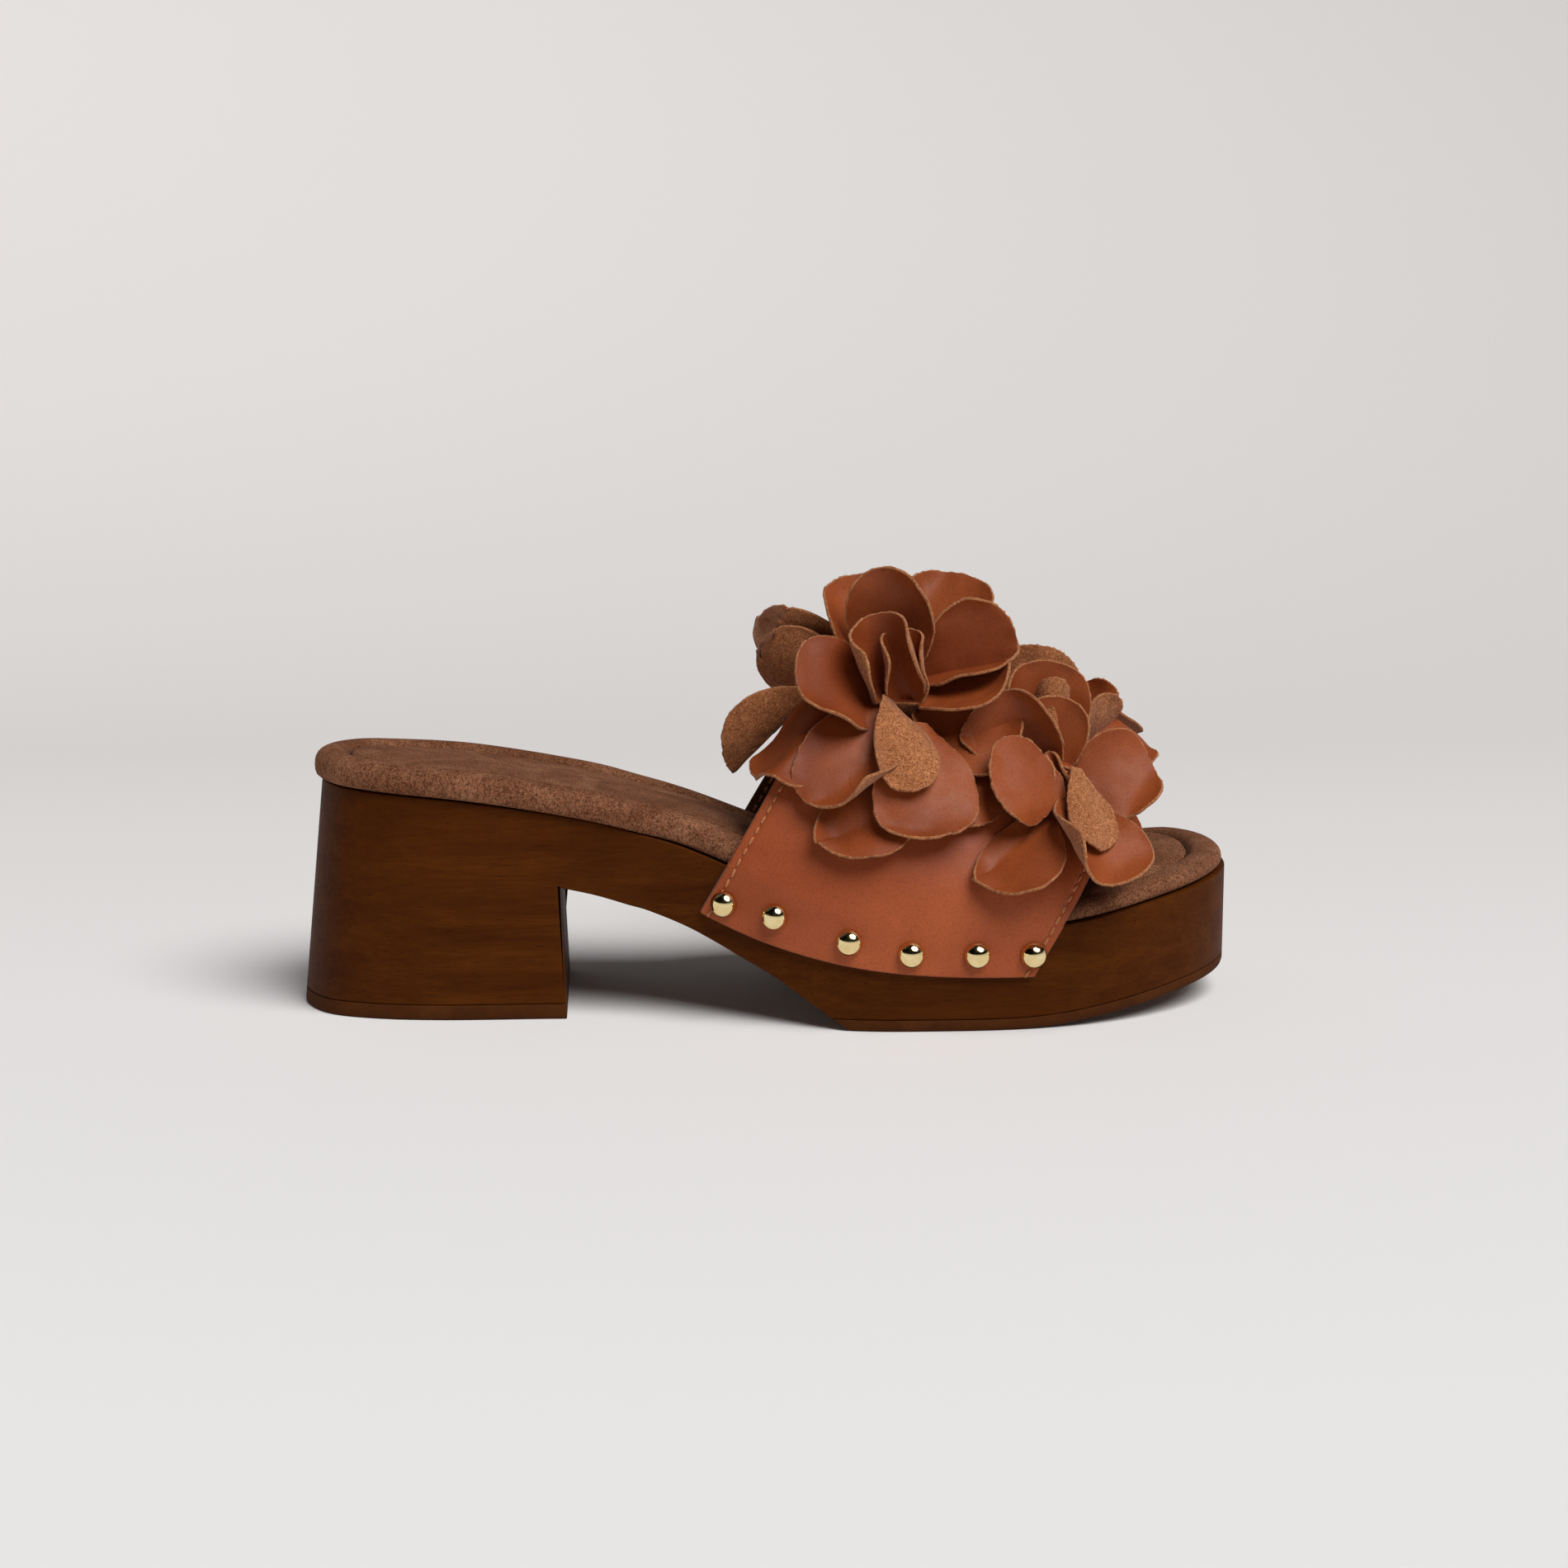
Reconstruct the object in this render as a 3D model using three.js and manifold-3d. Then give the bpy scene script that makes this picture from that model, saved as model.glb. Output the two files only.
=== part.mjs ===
// A women's right mule: a carved clog sole with a block heel, a padded suede footbed, a leather vamp
// nailed to both sides of the sole, and leather flowers sewn on the vamp.
// Millimetres. +X runs from heel to toe, +Y to the inner (big toe) side, +Z up. The origin is the
// middle of the heel's tread, on the floor.
import * as THREE from "three";
import { mergeVertices } from "three/addons/utils/BufferGeometryUtils.js";
import Module from "manifold-3d";

const wasm = await Module();
wasm.setup();

// Driving sizes of the sole
const soleLength = 250;
const heelWidth = 59;
const ballWidth = 91;
const heelHeight = 61.2; // wood top at the back of the heel
const platformHeight = 25.5; // wood top under the ball
const toeSpring = 9; // lift of the tread at the toe
const treadStart = 142; // where the forefoot tread begins, from the back of the heel
const springStart = 180; // where the tread leaves the floor, from the back of the heel
const heelLength = 70.5; // the heel's tread, back to breast
const breastLean = 1.8; // the breast's top lies this far behind its foot
const archHeight = 34.6; // top of the heel's breast
const heelRake = 6.2; // the back of the heel leans forward by this much at its top
const heelLift = 4; // rubber top piece
const treadThickness = 3; // rubber under the forefoot
const treadEdgeRound = 0.9;
const seam = 0.3; // between pieces that touch

// Driving sizes of the footbed
const footbedThickness = 6.6; // at the heel
const footbedToeThickness = 4;
const heelOverhang = 2;
const overhangFade = 22; // the overhang fades out over this length, ahead of the vamp
const vampApproach = 3; // and is gone this far before the vamp's rear corner
const toeMargin = 0.9; // the wood shows round the toe by this much
const vampMargin = 0.9;
const borderWidth = 9; // the pillow border, from the edge to the groove
const grooveDepth = 1.2;

// Driving sizes of the vamp
const vampWall = 2;
const vampLean = 0.58; // forward travel of the vamp's planes per millimetre of height
const hemRear = 104.5; // station of the hem's rear corner
const hemFront = 188.6; // station of the hem's front corner
const hemRearDrop = 14.8; // from the wood's top down to the hem's rear corner
const hemFrontDrop = 12; // and down to its front corner
const hemSag = 4.8; // the hem hangs this far under its chord
const hemSkew = 0.2; // the sag is fuller towards the rear corner
const vampTurn = 0.1; // forward travel of the vamp's planes per millimetre towards the inner side
const instepHeight = 88; // top of the vamp at its rear edge
const toeOpeningHeight = 56; // top of the vamp at its front edge
const archFullness = 2.2; // exponent of the section: 2 is an ellipse
const instepShift = 3; // the crown lies this far to the inner side

// Driving sizes of the studs
const studRadius = 3.4;
const studHeight = 2.4;
const studShank = 0.8; // radius
const studShankLength = 8;
const studHoleSpare = 1; // the hole is this much deeper than the shank
const studHoleClearance = 0.3;
const studAboveHem = 6;

// Driving sizes of the flowers
const petalLength = 32;
const petalWidth = 27;
const petalWall = 1.2;
const petalDrape = 0.5; // between a petal that lies on the vamp and the vamp
const hubRadius = 6;
const hubHeight = 9;

const originStation = heelLength / 2;

// Plan of the sole, clockwise from the back of the heel along the outer side. at is a share of the
// sole's length; across is a share of half the heel's or half the ball's width, outer side negative.
const plan = [
  { at: 0.0, across: 0.0, of: heelWidth },
  { at: 0.008, across: -0.33, of: heelWidth },
  { at: 0.035, across: -0.67, of: heelWidth },
  { at: 0.085, across: -0.87, of: heelWidth },
  { at: 0.15, across: -0.97, of: heelWidth },
  { at: 0.28, across: -1.0, of: heelWidth },
  { at: 0.36, across: -1.06, of: heelWidth },
  { at: 0.42, across: -1.18, of: heelWidth },
  { at: 0.5, across: -0.92, of: ballWidth },
  { at: 0.58, across: -1.06, of: ballWidth },
  { at: 0.66, across: -1.095, of: ballWidth },
  { at: 0.74, across: -1.085, of: ballWidth },
  { at: 0.82, across: -1.01, of: ballWidth },
  { at: 0.89, across: -0.85, of: ballWidth },
  { at: 0.95, across: -0.6, of: ballWidth },
  { at: 0.985, across: -0.3, of: ballWidth },
  { at: 0.997, across: 0.05, of: ballWidth },
  { at: 0.99, across: 0.4, of: ballWidth },
  { at: 0.965, across: 0.68, of: ballWidth },
  { at: 0.92, across: 0.83, of: ballWidth },
  { at: 0.85, across: 0.9, of: ballWidth },
  { at: 0.76, across: 0.92, of: ballWidth },
  { at: 0.66, across: 0.88, of: ballWidth },
  { at: 0.56, across: 0.77, of: ballWidth },
  { at: 0.47, across: 1.01, of: heelWidth },
  { at: 0.38, across: 0.94, of: heelWidth },
  { at: 0.28, across: 0.97, of: heelWidth },
  { at: 0.15, across: 0.97, of: heelWidth },
  { at: 0.085, across: 0.87, of: heelWidth },
  { at: 0.035, across: 0.67, of: heelWidth },
  { at: 0.008, across: 0.33, of: heelWidth },
];

// Top line of the wood: rise is a share of the heel's height over the platform, spring a share of
// the toe spring.
const topLine = [
  { at: -0.02, rise: 1.0, spring: 0 },
  { at: 0.078, rise: 0.945, spring: 0 },
  { at: 0.176, rise: 0.885, spring: 0 },
  { at: 0.294, rise: 0.757, spring: 0 },
  { at: 0.362, rise: 0.64, spring: 0 },
  { at: 0.412, rise: 0.532, spring: 0 },
  { at: 0.492, rise: 0.308, spring: 0 },
  { at: 0.568, rise: 0.115, spring: 0 },
  { at: 0.632, rise: 0.03, spring: 0 },
  { at: 0.7, rise: 0, spring: 0 },
  { at: 0.76, rise: 0, spring: 0.08 },
  { at: 0.82, rise: 0, spring: 0.26 },
  { at: 0.89, rise: 0, spring: 0.6 },
  { at: 0.95, rise: 0, spring: 0.88 },
  { at: 1.02, rise: 0, spring: 1.18 },
];

// Underside between the breast and the forefoot tread: along is a share of that gap's length, up a
// share of the arch height.
const archLine = [
  { along: 0.1, up: 0.945 },
  { along: 0.22, up: 0.872 },
  { along: 0.3, up: 0.825 },
  { along: 0.45, up: 0.7 },
  { along: 0.63, up: 0.5 },
  { along: 0.75, up: 0.36 },
  { along: 0.86, up: 0.2 },
];

// Spring of the tread from where it leaves the floor to the toe
const springLine = [
  { along: 0, up: 0 },
  { along: 0.14, up: 0.03 },
  { along: 0.29, up: 0.14 },
  { along: 0.44, up: 0.3 },
  { along: 0.6, up: 0.49 },
  { along: 0.76, up: 0.69 },
  { along: 1.05, up: 1.0 },
];

// Value at a station, by a smooth curve through a table's points
function smoothLine(points) {
  const curve = new THREE.SplineCurve(points.map(([x, y]) => new THREE.Vector2(x, y)));
  const samples = curve.getPoints(points.length * 8);
  return (x) => {
    const next = samples.findIndex((p) => p.x >= x);
    if (next < 0) return samples.at(-1).y;
    if (next === 0) return samples[0].y;
    const [a, b] = [samples[next - 1], samples[next]];
    return a.y + ((b.y - a.y) * (x - a.x)) / (b.x - a.x);
  };
}

const topAt = smoothLine(topLine.map((row) => [
  row.at * soleLength,
  platformHeight + row.rise * (heelHeight - platformHeight) + row.spring * toeSpring,
]));
const springAt = smoothLine(springLine.map((row) => [
  springStart + row.along * (soleLength - springStart),
  row.up * toeSpring,
]));
const treadAt = (x) => (x < springStart ? 0 : springAt(x));

const planCurve = new THREE.CatmullRomCurve3(
  plan.map((row) => new THREE.Vector3(row.at * soleLength, (row.across * row.of) / 2, 0)),
  true,
  "centripetal",
);
const planSamples = planCurve.getSpacedPoints(400);

// The plan's half width at a station, on the outer (-1) or inner (+1) side
function halfWidthAt(x, side) {
  const run = planSamples.filter((p) => Math.sign(p.y) === side || p.y === 0);
  let best = 0;
  for (let i = 1; i < run.length; i++) {
    const [a, b] = [run[i - 1], run[i]];
    if ((a.x - x) * (b.x - x) > 0 || a.x === b.x) continue;
    const y = a.y + ((b.y - a.y) * (x - a.x)) / (b.x - a.x);
    best = Math.max(best, Math.abs(y));
  }
  return best;
}

// Closed solid of a BufferGeometry
function solidOf(geometry) {
  const bare = new THREE.BufferGeometry();
  const loose = geometry.index ? geometry.toNonIndexed() : geometry;
  bare.setAttribute("position", loose.getAttribute("position"));
  const merged = mergeVertices(bare, 1e-4);
  return new wasm.Manifold(new wasm.Mesh({
    numProp: 3,
    vertProperties: merged.attributes.position.array,
    triVerts: new Uint32Array(merged.index.array),
  }));
}

function geometryOf(solid) {
  const mesh = solid.getMesh();
  const positions = new Float32Array(mesh.numVert * 3);
  for (let i = 0; i < mesh.numVert; i++) {
    positions.set(mesh.vertProperties.subarray(i * mesh.numProp, i * mesh.numProp + 3), i * 3);
  }
  const geometry = new THREE.BufferGeometry();
  geometry.setAttribute("position", new THREE.BufferAttribute(positions, 3));
  geometry.setIndex(new THREE.BufferAttribute(mesh.triVerts, 1));
  return geometry;
}

function geometryFrom(points, faces) {
  const geometry = new THREE.BufferGeometry().setFromPoints(points);
  geometry.setIndex(faces.flat());
  return geometry;
}

// Closed solid through rings of equally many points, each ring anticlockwise seen from above, the
// lowest ring first. The ends are closed straight across, from one side of the ring to the other.
function loft(rings) {
  const n = rings[0].length;
  const faces = [];
  for (let r = 0; r + 1 < rings.length; r++) {
    for (let i = 0; i < n; i++) {
      const [a, b] = [r * n + i, r * n + ((i + 1) % n)];
      faces.push([a, b, b + n], [a, b + n, a + n]);
    }
  }
  const last = (rings.length - 1) * n;
  for (let i = 0; i < n / 2 - 1; i++) {
    const [a, b, c, d] = [i, i + 1, n - 2 - i, n - 1 - i];
    faces.push([a, d, b], [last + a, last + b, last + d]);
    if (b !== c) faces.push([b, d, c], [last + b, last + c, last + d]);
  }
  return geometryFrom(rings.flat(), faces);
}

// Closed sheet with a face, a back and a rim, from two equal grids of points. face[i][j] and
// back[i][j] lie on the two sides of the wall.
function wallSolid(face, back) {
  const [rows, columns] = [face.length, face[0].length];
  const backStart = rows * columns;
  const at = (i, j) => i * columns + j;
  const faces = [];
  for (let i = 0; i + 1 < rows; i++) {
    for (let j = 0; j + 1 < columns; j++) {
      const [a, b, c, d] = [at(i, j), at(i + 1, j), at(i + 1, j + 1), at(i, j + 1)];
      faces.push([a, b, c], [a, c, d]);
      faces.push([backStart + a, backStart + c, backStart + b]);
      faces.push([backStart + a, backStart + d, backStart + c]);
    }
  }
  const rim = [];
  for (let i = 0; i < rows - 1; i++) rim.push(at(i, 0));
  for (let j = 0; j < columns - 1; j++) rim.push(at(rows - 1, j));
  for (let i = rows - 1; i > 0; i--) rim.push(at(i, columns - 1));
  for (let j = columns - 1; j > 0; j--) rim.push(at(0, j));
  rim.forEach((a, k) => {
    const b = rim[(k + 1) % rim.length];
    faces.push([a, backStart + b, b], [a, backStart + a, backStart + b]);
  });
  return geometryFrom([...face.flat(), ...back.flat()], faces);
}

// Solid of a side profile, given as [station, height] points, right across the sole
function acrossSole(profile) {
  const reach = ballWidth;
  const shape = new THREE.Shape(profile.map(([x, z]) => new THREE.Vector2(x, z)));
  const geometry = new THREE.ExtrudeGeometry(shape, { depth: 2 * reach, bevelEnabled: false });
  geometry.rotateX(Math.PI / 2);
  geometry.translate(0, reach, 0);
  return solidOf(geometry);
}

// Points of the plan with their outward directions. Ring index 0 is the back of the heel, and the
// ring runs along the outer side to the toe.
const ringCount = 52;
const planRing = Array.from({ length: ringCount }, (_, i) => {
  const share = i / ringCount;
  const point = planCurve.getPointAt(share);
  const tangent = planCurve.getTangentAt(share);
  return { point, outward: new THREE.Vector2(tangent.y, -tangent.x) };
});

// A ring of the plan drawn in by inset(x), at height(x)
function ringAt(inset, height, rake = () => 0) {
  return planRing.map(({ point, outward }) => {
    const d = inset(point.x);
    const z = height(point.x);
    const x = point.x - outward.x * d;
    return new THREE.Vector3(x + rake(point.x, z), point.y - outward.y * d, z);
  });
}

// The back of the heel leans forward with height, fading out towards the breast
const rakeAt = (x, z) => (heelRake * Math.max(0, 1 - x / heelLength) * z) / heelHeight;

function stationRange(from, to, steps) {
  return Array.from({ length: steps + 1 }, (_, i) => from + ((to - from) * i) / steps);
}

// The whole sole as one block, before the rubber is split off
function soleBlock() {
  const high = heelHeight + footbedThickness;
  const levels = [
    [() => treadEdgeRound, (x) => treadAt(x)],
    [() => 0.3 * treadEdgeRound, (x) => treadAt(x) + 0.4 * treadEdgeRound],
    [() => 0, (x) => treadAt(x) + 1.4 * treadEdgeRound],
    [() => 0, () => high],
  ];
  const block = solidOf(loft(levels.map(([inset, height]) => ringAt(inset, height, rakeAt))));
  const margin = 5;
  const above = acrossSole([
    ...stationRange(-margin, soleLength + margin, 48).map((x) => [x, topAt(x)]),
    [soleLength + margin, high + margin],
    [-margin, high + margin],
  ]);
  const gap = treadStart - heelLength;
  const arch = acrossSole([
    [heelLength, -margin],
    [treadStart, -margin],
    [treadStart, 0],
    ...archLine.map((row) => [heelLength + row.along * gap, row.up * archHeight]).reverse(),
    [heelLength - breastLean, archHeight],
  ]);
  return block.subtract(above).subtract(arch);
}

// Side profile of the rubber under the heel or the forefoot
function treadProfile(from, to, thickness, steps) {
  const stations = stationRange(from, to, steps);
  return acrossSole([
    ...stations.map((x) => [x, treadAt(x) - treadEdgeRound - thickness]),
    ...stations.reverse().map((x) => [x, treadAt(x) + thickness]),
  ]);
}

const middle = (heelLength + treadStart) / 2;
const beyond = 10;
const heelZone = (thickness) => treadProfile(-beyond, middle, thickness, 1);
const foreZone = (thickness) => treadProfile(middle, soleLength + beyond, thickness, 28);

// The vamp, in planes that lean forward with height and turn forward towards the inner side. A plane
// is named by its station on the floor at y = 0.
const planeOf = (x, y, z) => x - vampLean * z - vampTurn * y;
const stationOf = (plane, y, z) => plane + vampLean * z + vampTurn * y;
const hemRearHeight = topAt(hemRear) - hemRearDrop;
const hemFrontHeight = topAt(hemFront) - hemFrontDrop;
const planeRear = planeOf(hemRear, -halfWidthAt(hemRear, -1), hemRearHeight);
const planeFront = planeOf(hemFront, -halfWidthAt(hemFront, -1), hemFrontHeight);
const planeShare = (plane) => (plane - planeRear) / (planeFront - planeRear);
const hemAt = (plane) => {
  const share = planeShare(plane);
  const chord = hemRearHeight + (hemFrontHeight - hemRearHeight) * share;
  return chord - hemSag * 4 * share * (1 - share) * (1 + hemSkew - 2 * hemSkew * share);
};
const crownAt = (plane) => {
  const share = planeShare(plane);
  return instepHeight + (toeOpeningHeight - instepHeight) * share;
};

// Where a plane of the vamp meets the side of the sole at height(x), on the outer or inner side
function sidePoint(plane, side, height) {
  let [x, y, z] = [plane, 0, 0];
  for (let i = 0; i < 12; i++) {
    z = height(x);
    x = stationOf(plane, y, z);
    y = side * halfWidthAt(x, side);
  }
  return new THREE.Vector3(x, y, z);
}

// Point of the vamp. around runs from 0 at the outer hem to 1 at the inner hem; out is the distance
// outside the sole's side, so the wall lies from seam to seam + vampWall.
const wallPart = 0.15; // share of around that lies against the sole's side
function vampPoint(plane, around, out) {
  const side = around < 0.5 ? -1 : 1;
  const fromHem = Math.min(around, 1 - around);
  if (fromHem < wallPart) {
    const top = sidePoint(plane, side, topAt).z;
    const z = THREE.MathUtils.lerp(hemAt(plane), top, fromHem / wallPart);
    const foot = sidePoint(plane, side, () => z);
    return new THREE.Vector3(foot.x, foot.y + side * out, z);
  }
  const outer = sidePoint(plane, -1, topAt);
  const inner = sidePoint(plane, 1, topAt);
  const angle = (Math.PI * (around - wallPart)) / (1 - 2 * wallPart);
  const power = 2 / archFullness;
  const across = Math.sign(Math.cos(angle)) * Math.abs(Math.cos(angle)) ** power;
  const lift = Math.max(0, Math.sin(angle)) ** power;
  const share = (1 - across) / 2;
  const width = inner.y - outer.y + 2 * out;
  const y = outer.y - out + width * share + instepShift * lift ** 2;
  const spring = THREE.MathUtils.lerp(outer.z, inner.z, share);
  const z = spring + (crownAt(plane) - seam - vampWall + out - spring) * lift;
  return new THREE.Vector3(stationOf(plane, y, z), y, z);
}

const vampRows = 8;
const vampColumns = 22;
function vampGrid(out, over = 0) {
  return stationRange(planeRear - over, planeFront + over, vampRows).map((plane) =>
    stationRange(0, 1, vampColumns).map((around) => vampPoint(plane, around, out)),
  );
}

// Studs along the hem: along is a share of the hem, up a share of the studs' height over the hem
const studRow = [
  { along: 0.058, up: 0.78 },
  { along: 0.213, up: 1.13 },
  { along: 0.447, up: 1.0 },
  { along: 0.627, up: 0.86 },
  { along: 0.805, up: 0.98 },
  { along: 0.957, up: 0.96 },
];

// Where a stud's shank crosses the side of the sole, and the direction that it faces
function studSeat({ along, up }, side) {
  const plane = planeRear + along * (planeFront - planeRear);
  const at = sidePoint(plane, side, () => hemAt(plane) + up * studAboveHem);
  const step = 1;
  const slope = (halfWidthAt(at.x + step, side) - halfWidthAt(at.x - step, side)) / (2 * step);
  return { at, facing: new THREE.Vector3(-slope, side, 0).normalize() };
}

const lathe = (profile, segments) => new THREE.LatheGeometry(
  profile.map(([radius, height]) => new THREE.Vector2(radius, height)),
  segments,
);

// Domed nail, its dome's flat back at y = 0 and its shank below
function studGeometry() {
  const dome = [0, 0.5, 1].map((share) => {
    const angle = (share * Math.PI) / 2;
    return [studRadius * Math.cos(angle), studHeight * Math.sin(angle)];
  });
  dome[dome.length - 1][0] = 0;
  return lathe([[0, -studShankLength], [studShank, -studShankLength], [studShank, 0], ...dome], 8);
}

function turned(geometry, seat, lift) {
  const turn = new THREE.Quaternion().setFromUnitVectors(new THREE.Vector3(0, 1, 0), seat.facing);
  const place = seat.at.clone().addScaledVector(seat.facing, lift);
  return geometry.applyMatrix4(new THREE.Matrix4().compose(place, turn, new THREE.Vector3(1, 1, 1)));
}

const domeLift = seam + vampWall + seam; // from the sole's side to the dome's back
const holeDepth = studShankLength - domeLift + studHoleSpare;
function studHole(seat) {
  const radius = studShank + studHoleClearance;
  const length = holeDepth + domeLift;
  const hole = new THREE.CylinderGeometry(radius, radius, length, 6);
  hole.translate(0, domeLift - length / 2, 0);
  return solidOf(turned(hole, seat, 0));
}

// The given point, moved out where it lies under the vamp's outer face or less than gap over it.
// Past the vamp's front or rear edge it may hang lower, by overEdgeDrop for each millimetre past it.
const overEdgeDrop = 2.4;
const leastMeasure = 0.2;
function clearOfVamp(point, gap) {
  const plane = planeOf(point.x, point.y, point.z);
  const past = Math.max(0, planeRear - plane, plane - planeFront);
  const out = seam + vampWall + gap - overEdgeDrop * past;
  const outer = sidePoint(plane, -1, topAt);
  const inner = sidePoint(plane, 1, topAt);
  const centre = (outer.y + inner.y) / 2;
  const half = (inner.y - outer.y) / 2 + out;
  const share = (point.y - outer.y + out) / (2 * half);
  const spring = THREE.MathUtils.lerp(outer.z, inner.z, THREE.MathUtils.clamp(share, 0, 1));
  const height = crownAt(plane) - seam - vampWall + out - spring;
  const lift = Math.max(0, (point.z - spring) / height);
  const across = (point.y - instepShift * Math.min(1, lift) ** 2 - centre) / half;
  const measure = (Math.abs(across) ** archFullness + lift ** archFullness) ** (1 / archFullness);
  if (measure >= 1) return point;
  const scale = 1 / Math.max(measure, leastMeasure);
  const newLift = lift * scale;
  const y = centre + across * scale * half + instepShift * Math.min(1, newLift) ** 2;
  const z = lift > 0 ? spring + newLift * height : point.z;
  return new THREE.Vector3(point.x + vampLean * (z - point.z) + vampTurn * (y - point.y), y, z);
}

// Outline of a petal: half is a share of half its width, along a share of its length
const petalOutline = [
  { along: 0, half: 0.24 },
  { along: 0.2, half: 0.58 },
  { along: 0.4, half: 0.9 },
  { along: 0.6, half: 1.0 },
  { along: 0.8, half: 0.95 },
  { along: 1, half: 0.7 },
];
const outlineAt = smoothLine(petalOutline.map((row) => [row.along, row.half]));
const neckShare = 0.7; // the neck's width in the hub, as a share of the root's
const tipBow = 0.3; // the tip's corners lie back by this share of half the width

// Columns of the petal tables. ahead, inward and above place the root, as shares of the hub's radius.
// turn and rise are the heading of the middle line, roll turns the face about it, curl bends the
// petal back along its length and cup bends it across, all in degrees. reach and breadth are shares
// of the petal's length and width. Petals of a higher layer lie over those of a lower one.
const petalFields = [
  "ahead", "inward", "above", "turn", "rise", "roll", "reach", "breadth", "curl", "cup", "layer",
];
const petalTable = (rows) => rows.map((row) =>
  Object.fromEntries(row.map((value, i) => [petalFields[i], value])),
);

const rearPetals = petalTable([
  [-0.4, 0.9, 0.8, 122, 71, -8, 1.0, 1.1, 10, 30, 3], // upright, back left
  [0.0, 0.2, 0.8, 62, 92, 6, 1.04, 0.9, -18, 26, 3], // upright, back
  [0.7, 1.0, 1.1, 32, 58, 20, 1.08, 1.0, 14, 26, 3], // upright, back right
  [0.8, 0, 1.3, -10, 37, 104, 0.93, 0.84, -8, 24, 3], // standing, front right
  [-0.4, -0.5, 0.5, -142, 16, -58, 0.95, 1.0, 12, 26, 2], // hanging left
  [-0.7, 0.9, 0.3, 158, 18, 58, 1.1, 0.95, 0, 26, 1], // left, its back to the outer side
  [-0.9, 0.5, 0, 173, -18, 56, 1.3, 1.15, 8, 22, 1], // long, over the rear edge
  [-1.2, -0.5, -0.3, -156, -18, -14, 1.1, 1.0, 16, -16, 1], // low, left
  [-0.8, -1.6, 0.2, -128, -38, -10, 1.1, 1.05, 6, 18, 2], // low, rear corner
  [-0.9, -2.2, -2.0, -113, -38, 0, 1.0, 0.95, 8, -8, 0], // lowest, on the vamp
  [0.3, -2.2, -0.8, -84, -40, 0, 1.06, 0.98, 8, -14, 3], // low, front of the flower
  [0.6, -1.5, -0.9, -60, -36, 0, 1.02, 1.0, 8, -14, 1], // low, right
  [-0.5, -2.3, 0.9, -82, -48, 176, 0.92, 0.62, -12, 34, 5], // hanging in front, its back outward
  [0.2, -1.0, -0.2, 180, 70, -88, 0.88, 1.16, -8, 128, 3], // heart, outer roll
  [0.4, -1.2, -0.2, 150, 83, -56, 0.72, 0.72, -4, 116, 3], // heart, inner roll
  [0.5, 0.3, 1.2, -10, 14, 8, 0.95, 1.0, 4, 12, 3], // right, top
  [0.5, -0.6, 0.4, -20, 14, 24, 0.88, 0.95, 4, 14, 3], // right, middle
  [0.5, -0.8, -0.4, -30, -8, 44, 0.95, 0.95, 6, 10, 1], // right, lower
  [0, 1.6, 0, 92, -14, 0, 1.06, 1.05, 16, -14, 0], // inner side
  [-0.9, 1.4, 0, 132, -8, 0, 1.05, 1.0, 14, -10, 1], // inner side, rear
  [0.9, 1.4, 0, 48, -10, 0, 1.05, 1.0, 14, -10, 1], // inner side, front
  [-0.7, 2.1, 1.2, 160, 19, 50, 1.1, 0.95, 4, 22, 2], // left, behind its neighbour
]);

const frontPetals = petalTable([
  [-0.3, 0.1, 0.4, -174, 50, -98, 0.9, 1.04, 4, 30, 3], // up, rear
  [-0.3, 0.3, 0.5, 86, 86, 0, 0.72, 0.72, -6, 30, 3], // upright, middle
  [-0.5, 0.9, 0.6, 96, 78, 0, 0.98, 0.95, -14, 30, 3], // upright, inner
  [0.5, 0.7, 0.7, 20, 30, 34, 0.84, 0.8, 16, 10, 3], // ahead, top
  [0.3, 0, 0.3, -12, 19, 66, 0.76, 0.9, 30, 20, 2], // ahead, standing
  [-0.1, -1.6, 0.7, -156, 14, -56, 0.68, 0.84, 12, 20, 2], // rear, folded out
  [-0.9, -1.7, -0.6, -128, -28, 0, 0.88, 0.9, 12, -8, 0], // lowest, on the vamp
  [0.2, -1.5, 0.2, -72, -40, -10, 0.92, 1.1, 4, 46, 2], // low, outer, hollow
  [0.6, -0.4, 0, -14, -30, 10, 0.7, 0.9, 10, 12, 0], // low, over the front edge
  [0.4, -1.6, 1.4, -72, -42, 168, 0.74, 0.46, -14, 44, 3], // hanging in front, its back outward
]);

// Unit frame of a petal at its root: along the middle line, across it, and out of its face
function petalFrame({ turn, rise, roll }) {
  const [a, b, c] = [turn, rise, roll].map(THREE.MathUtils.degToRad);
  const along = new THREE.Vector3(Math.cos(b) * Math.cos(a), Math.cos(b) * Math.sin(a), Math.sin(b));
  const face = new THREE.Vector3(-Math.sin(b) * Math.cos(a), -Math.sin(b) * Math.sin(a), Math.cos(b));
  face.applyAxisAngle(along, c);
  return { along, face, across: new THREE.Vector3().crossVectors(face, along) };
}

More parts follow.
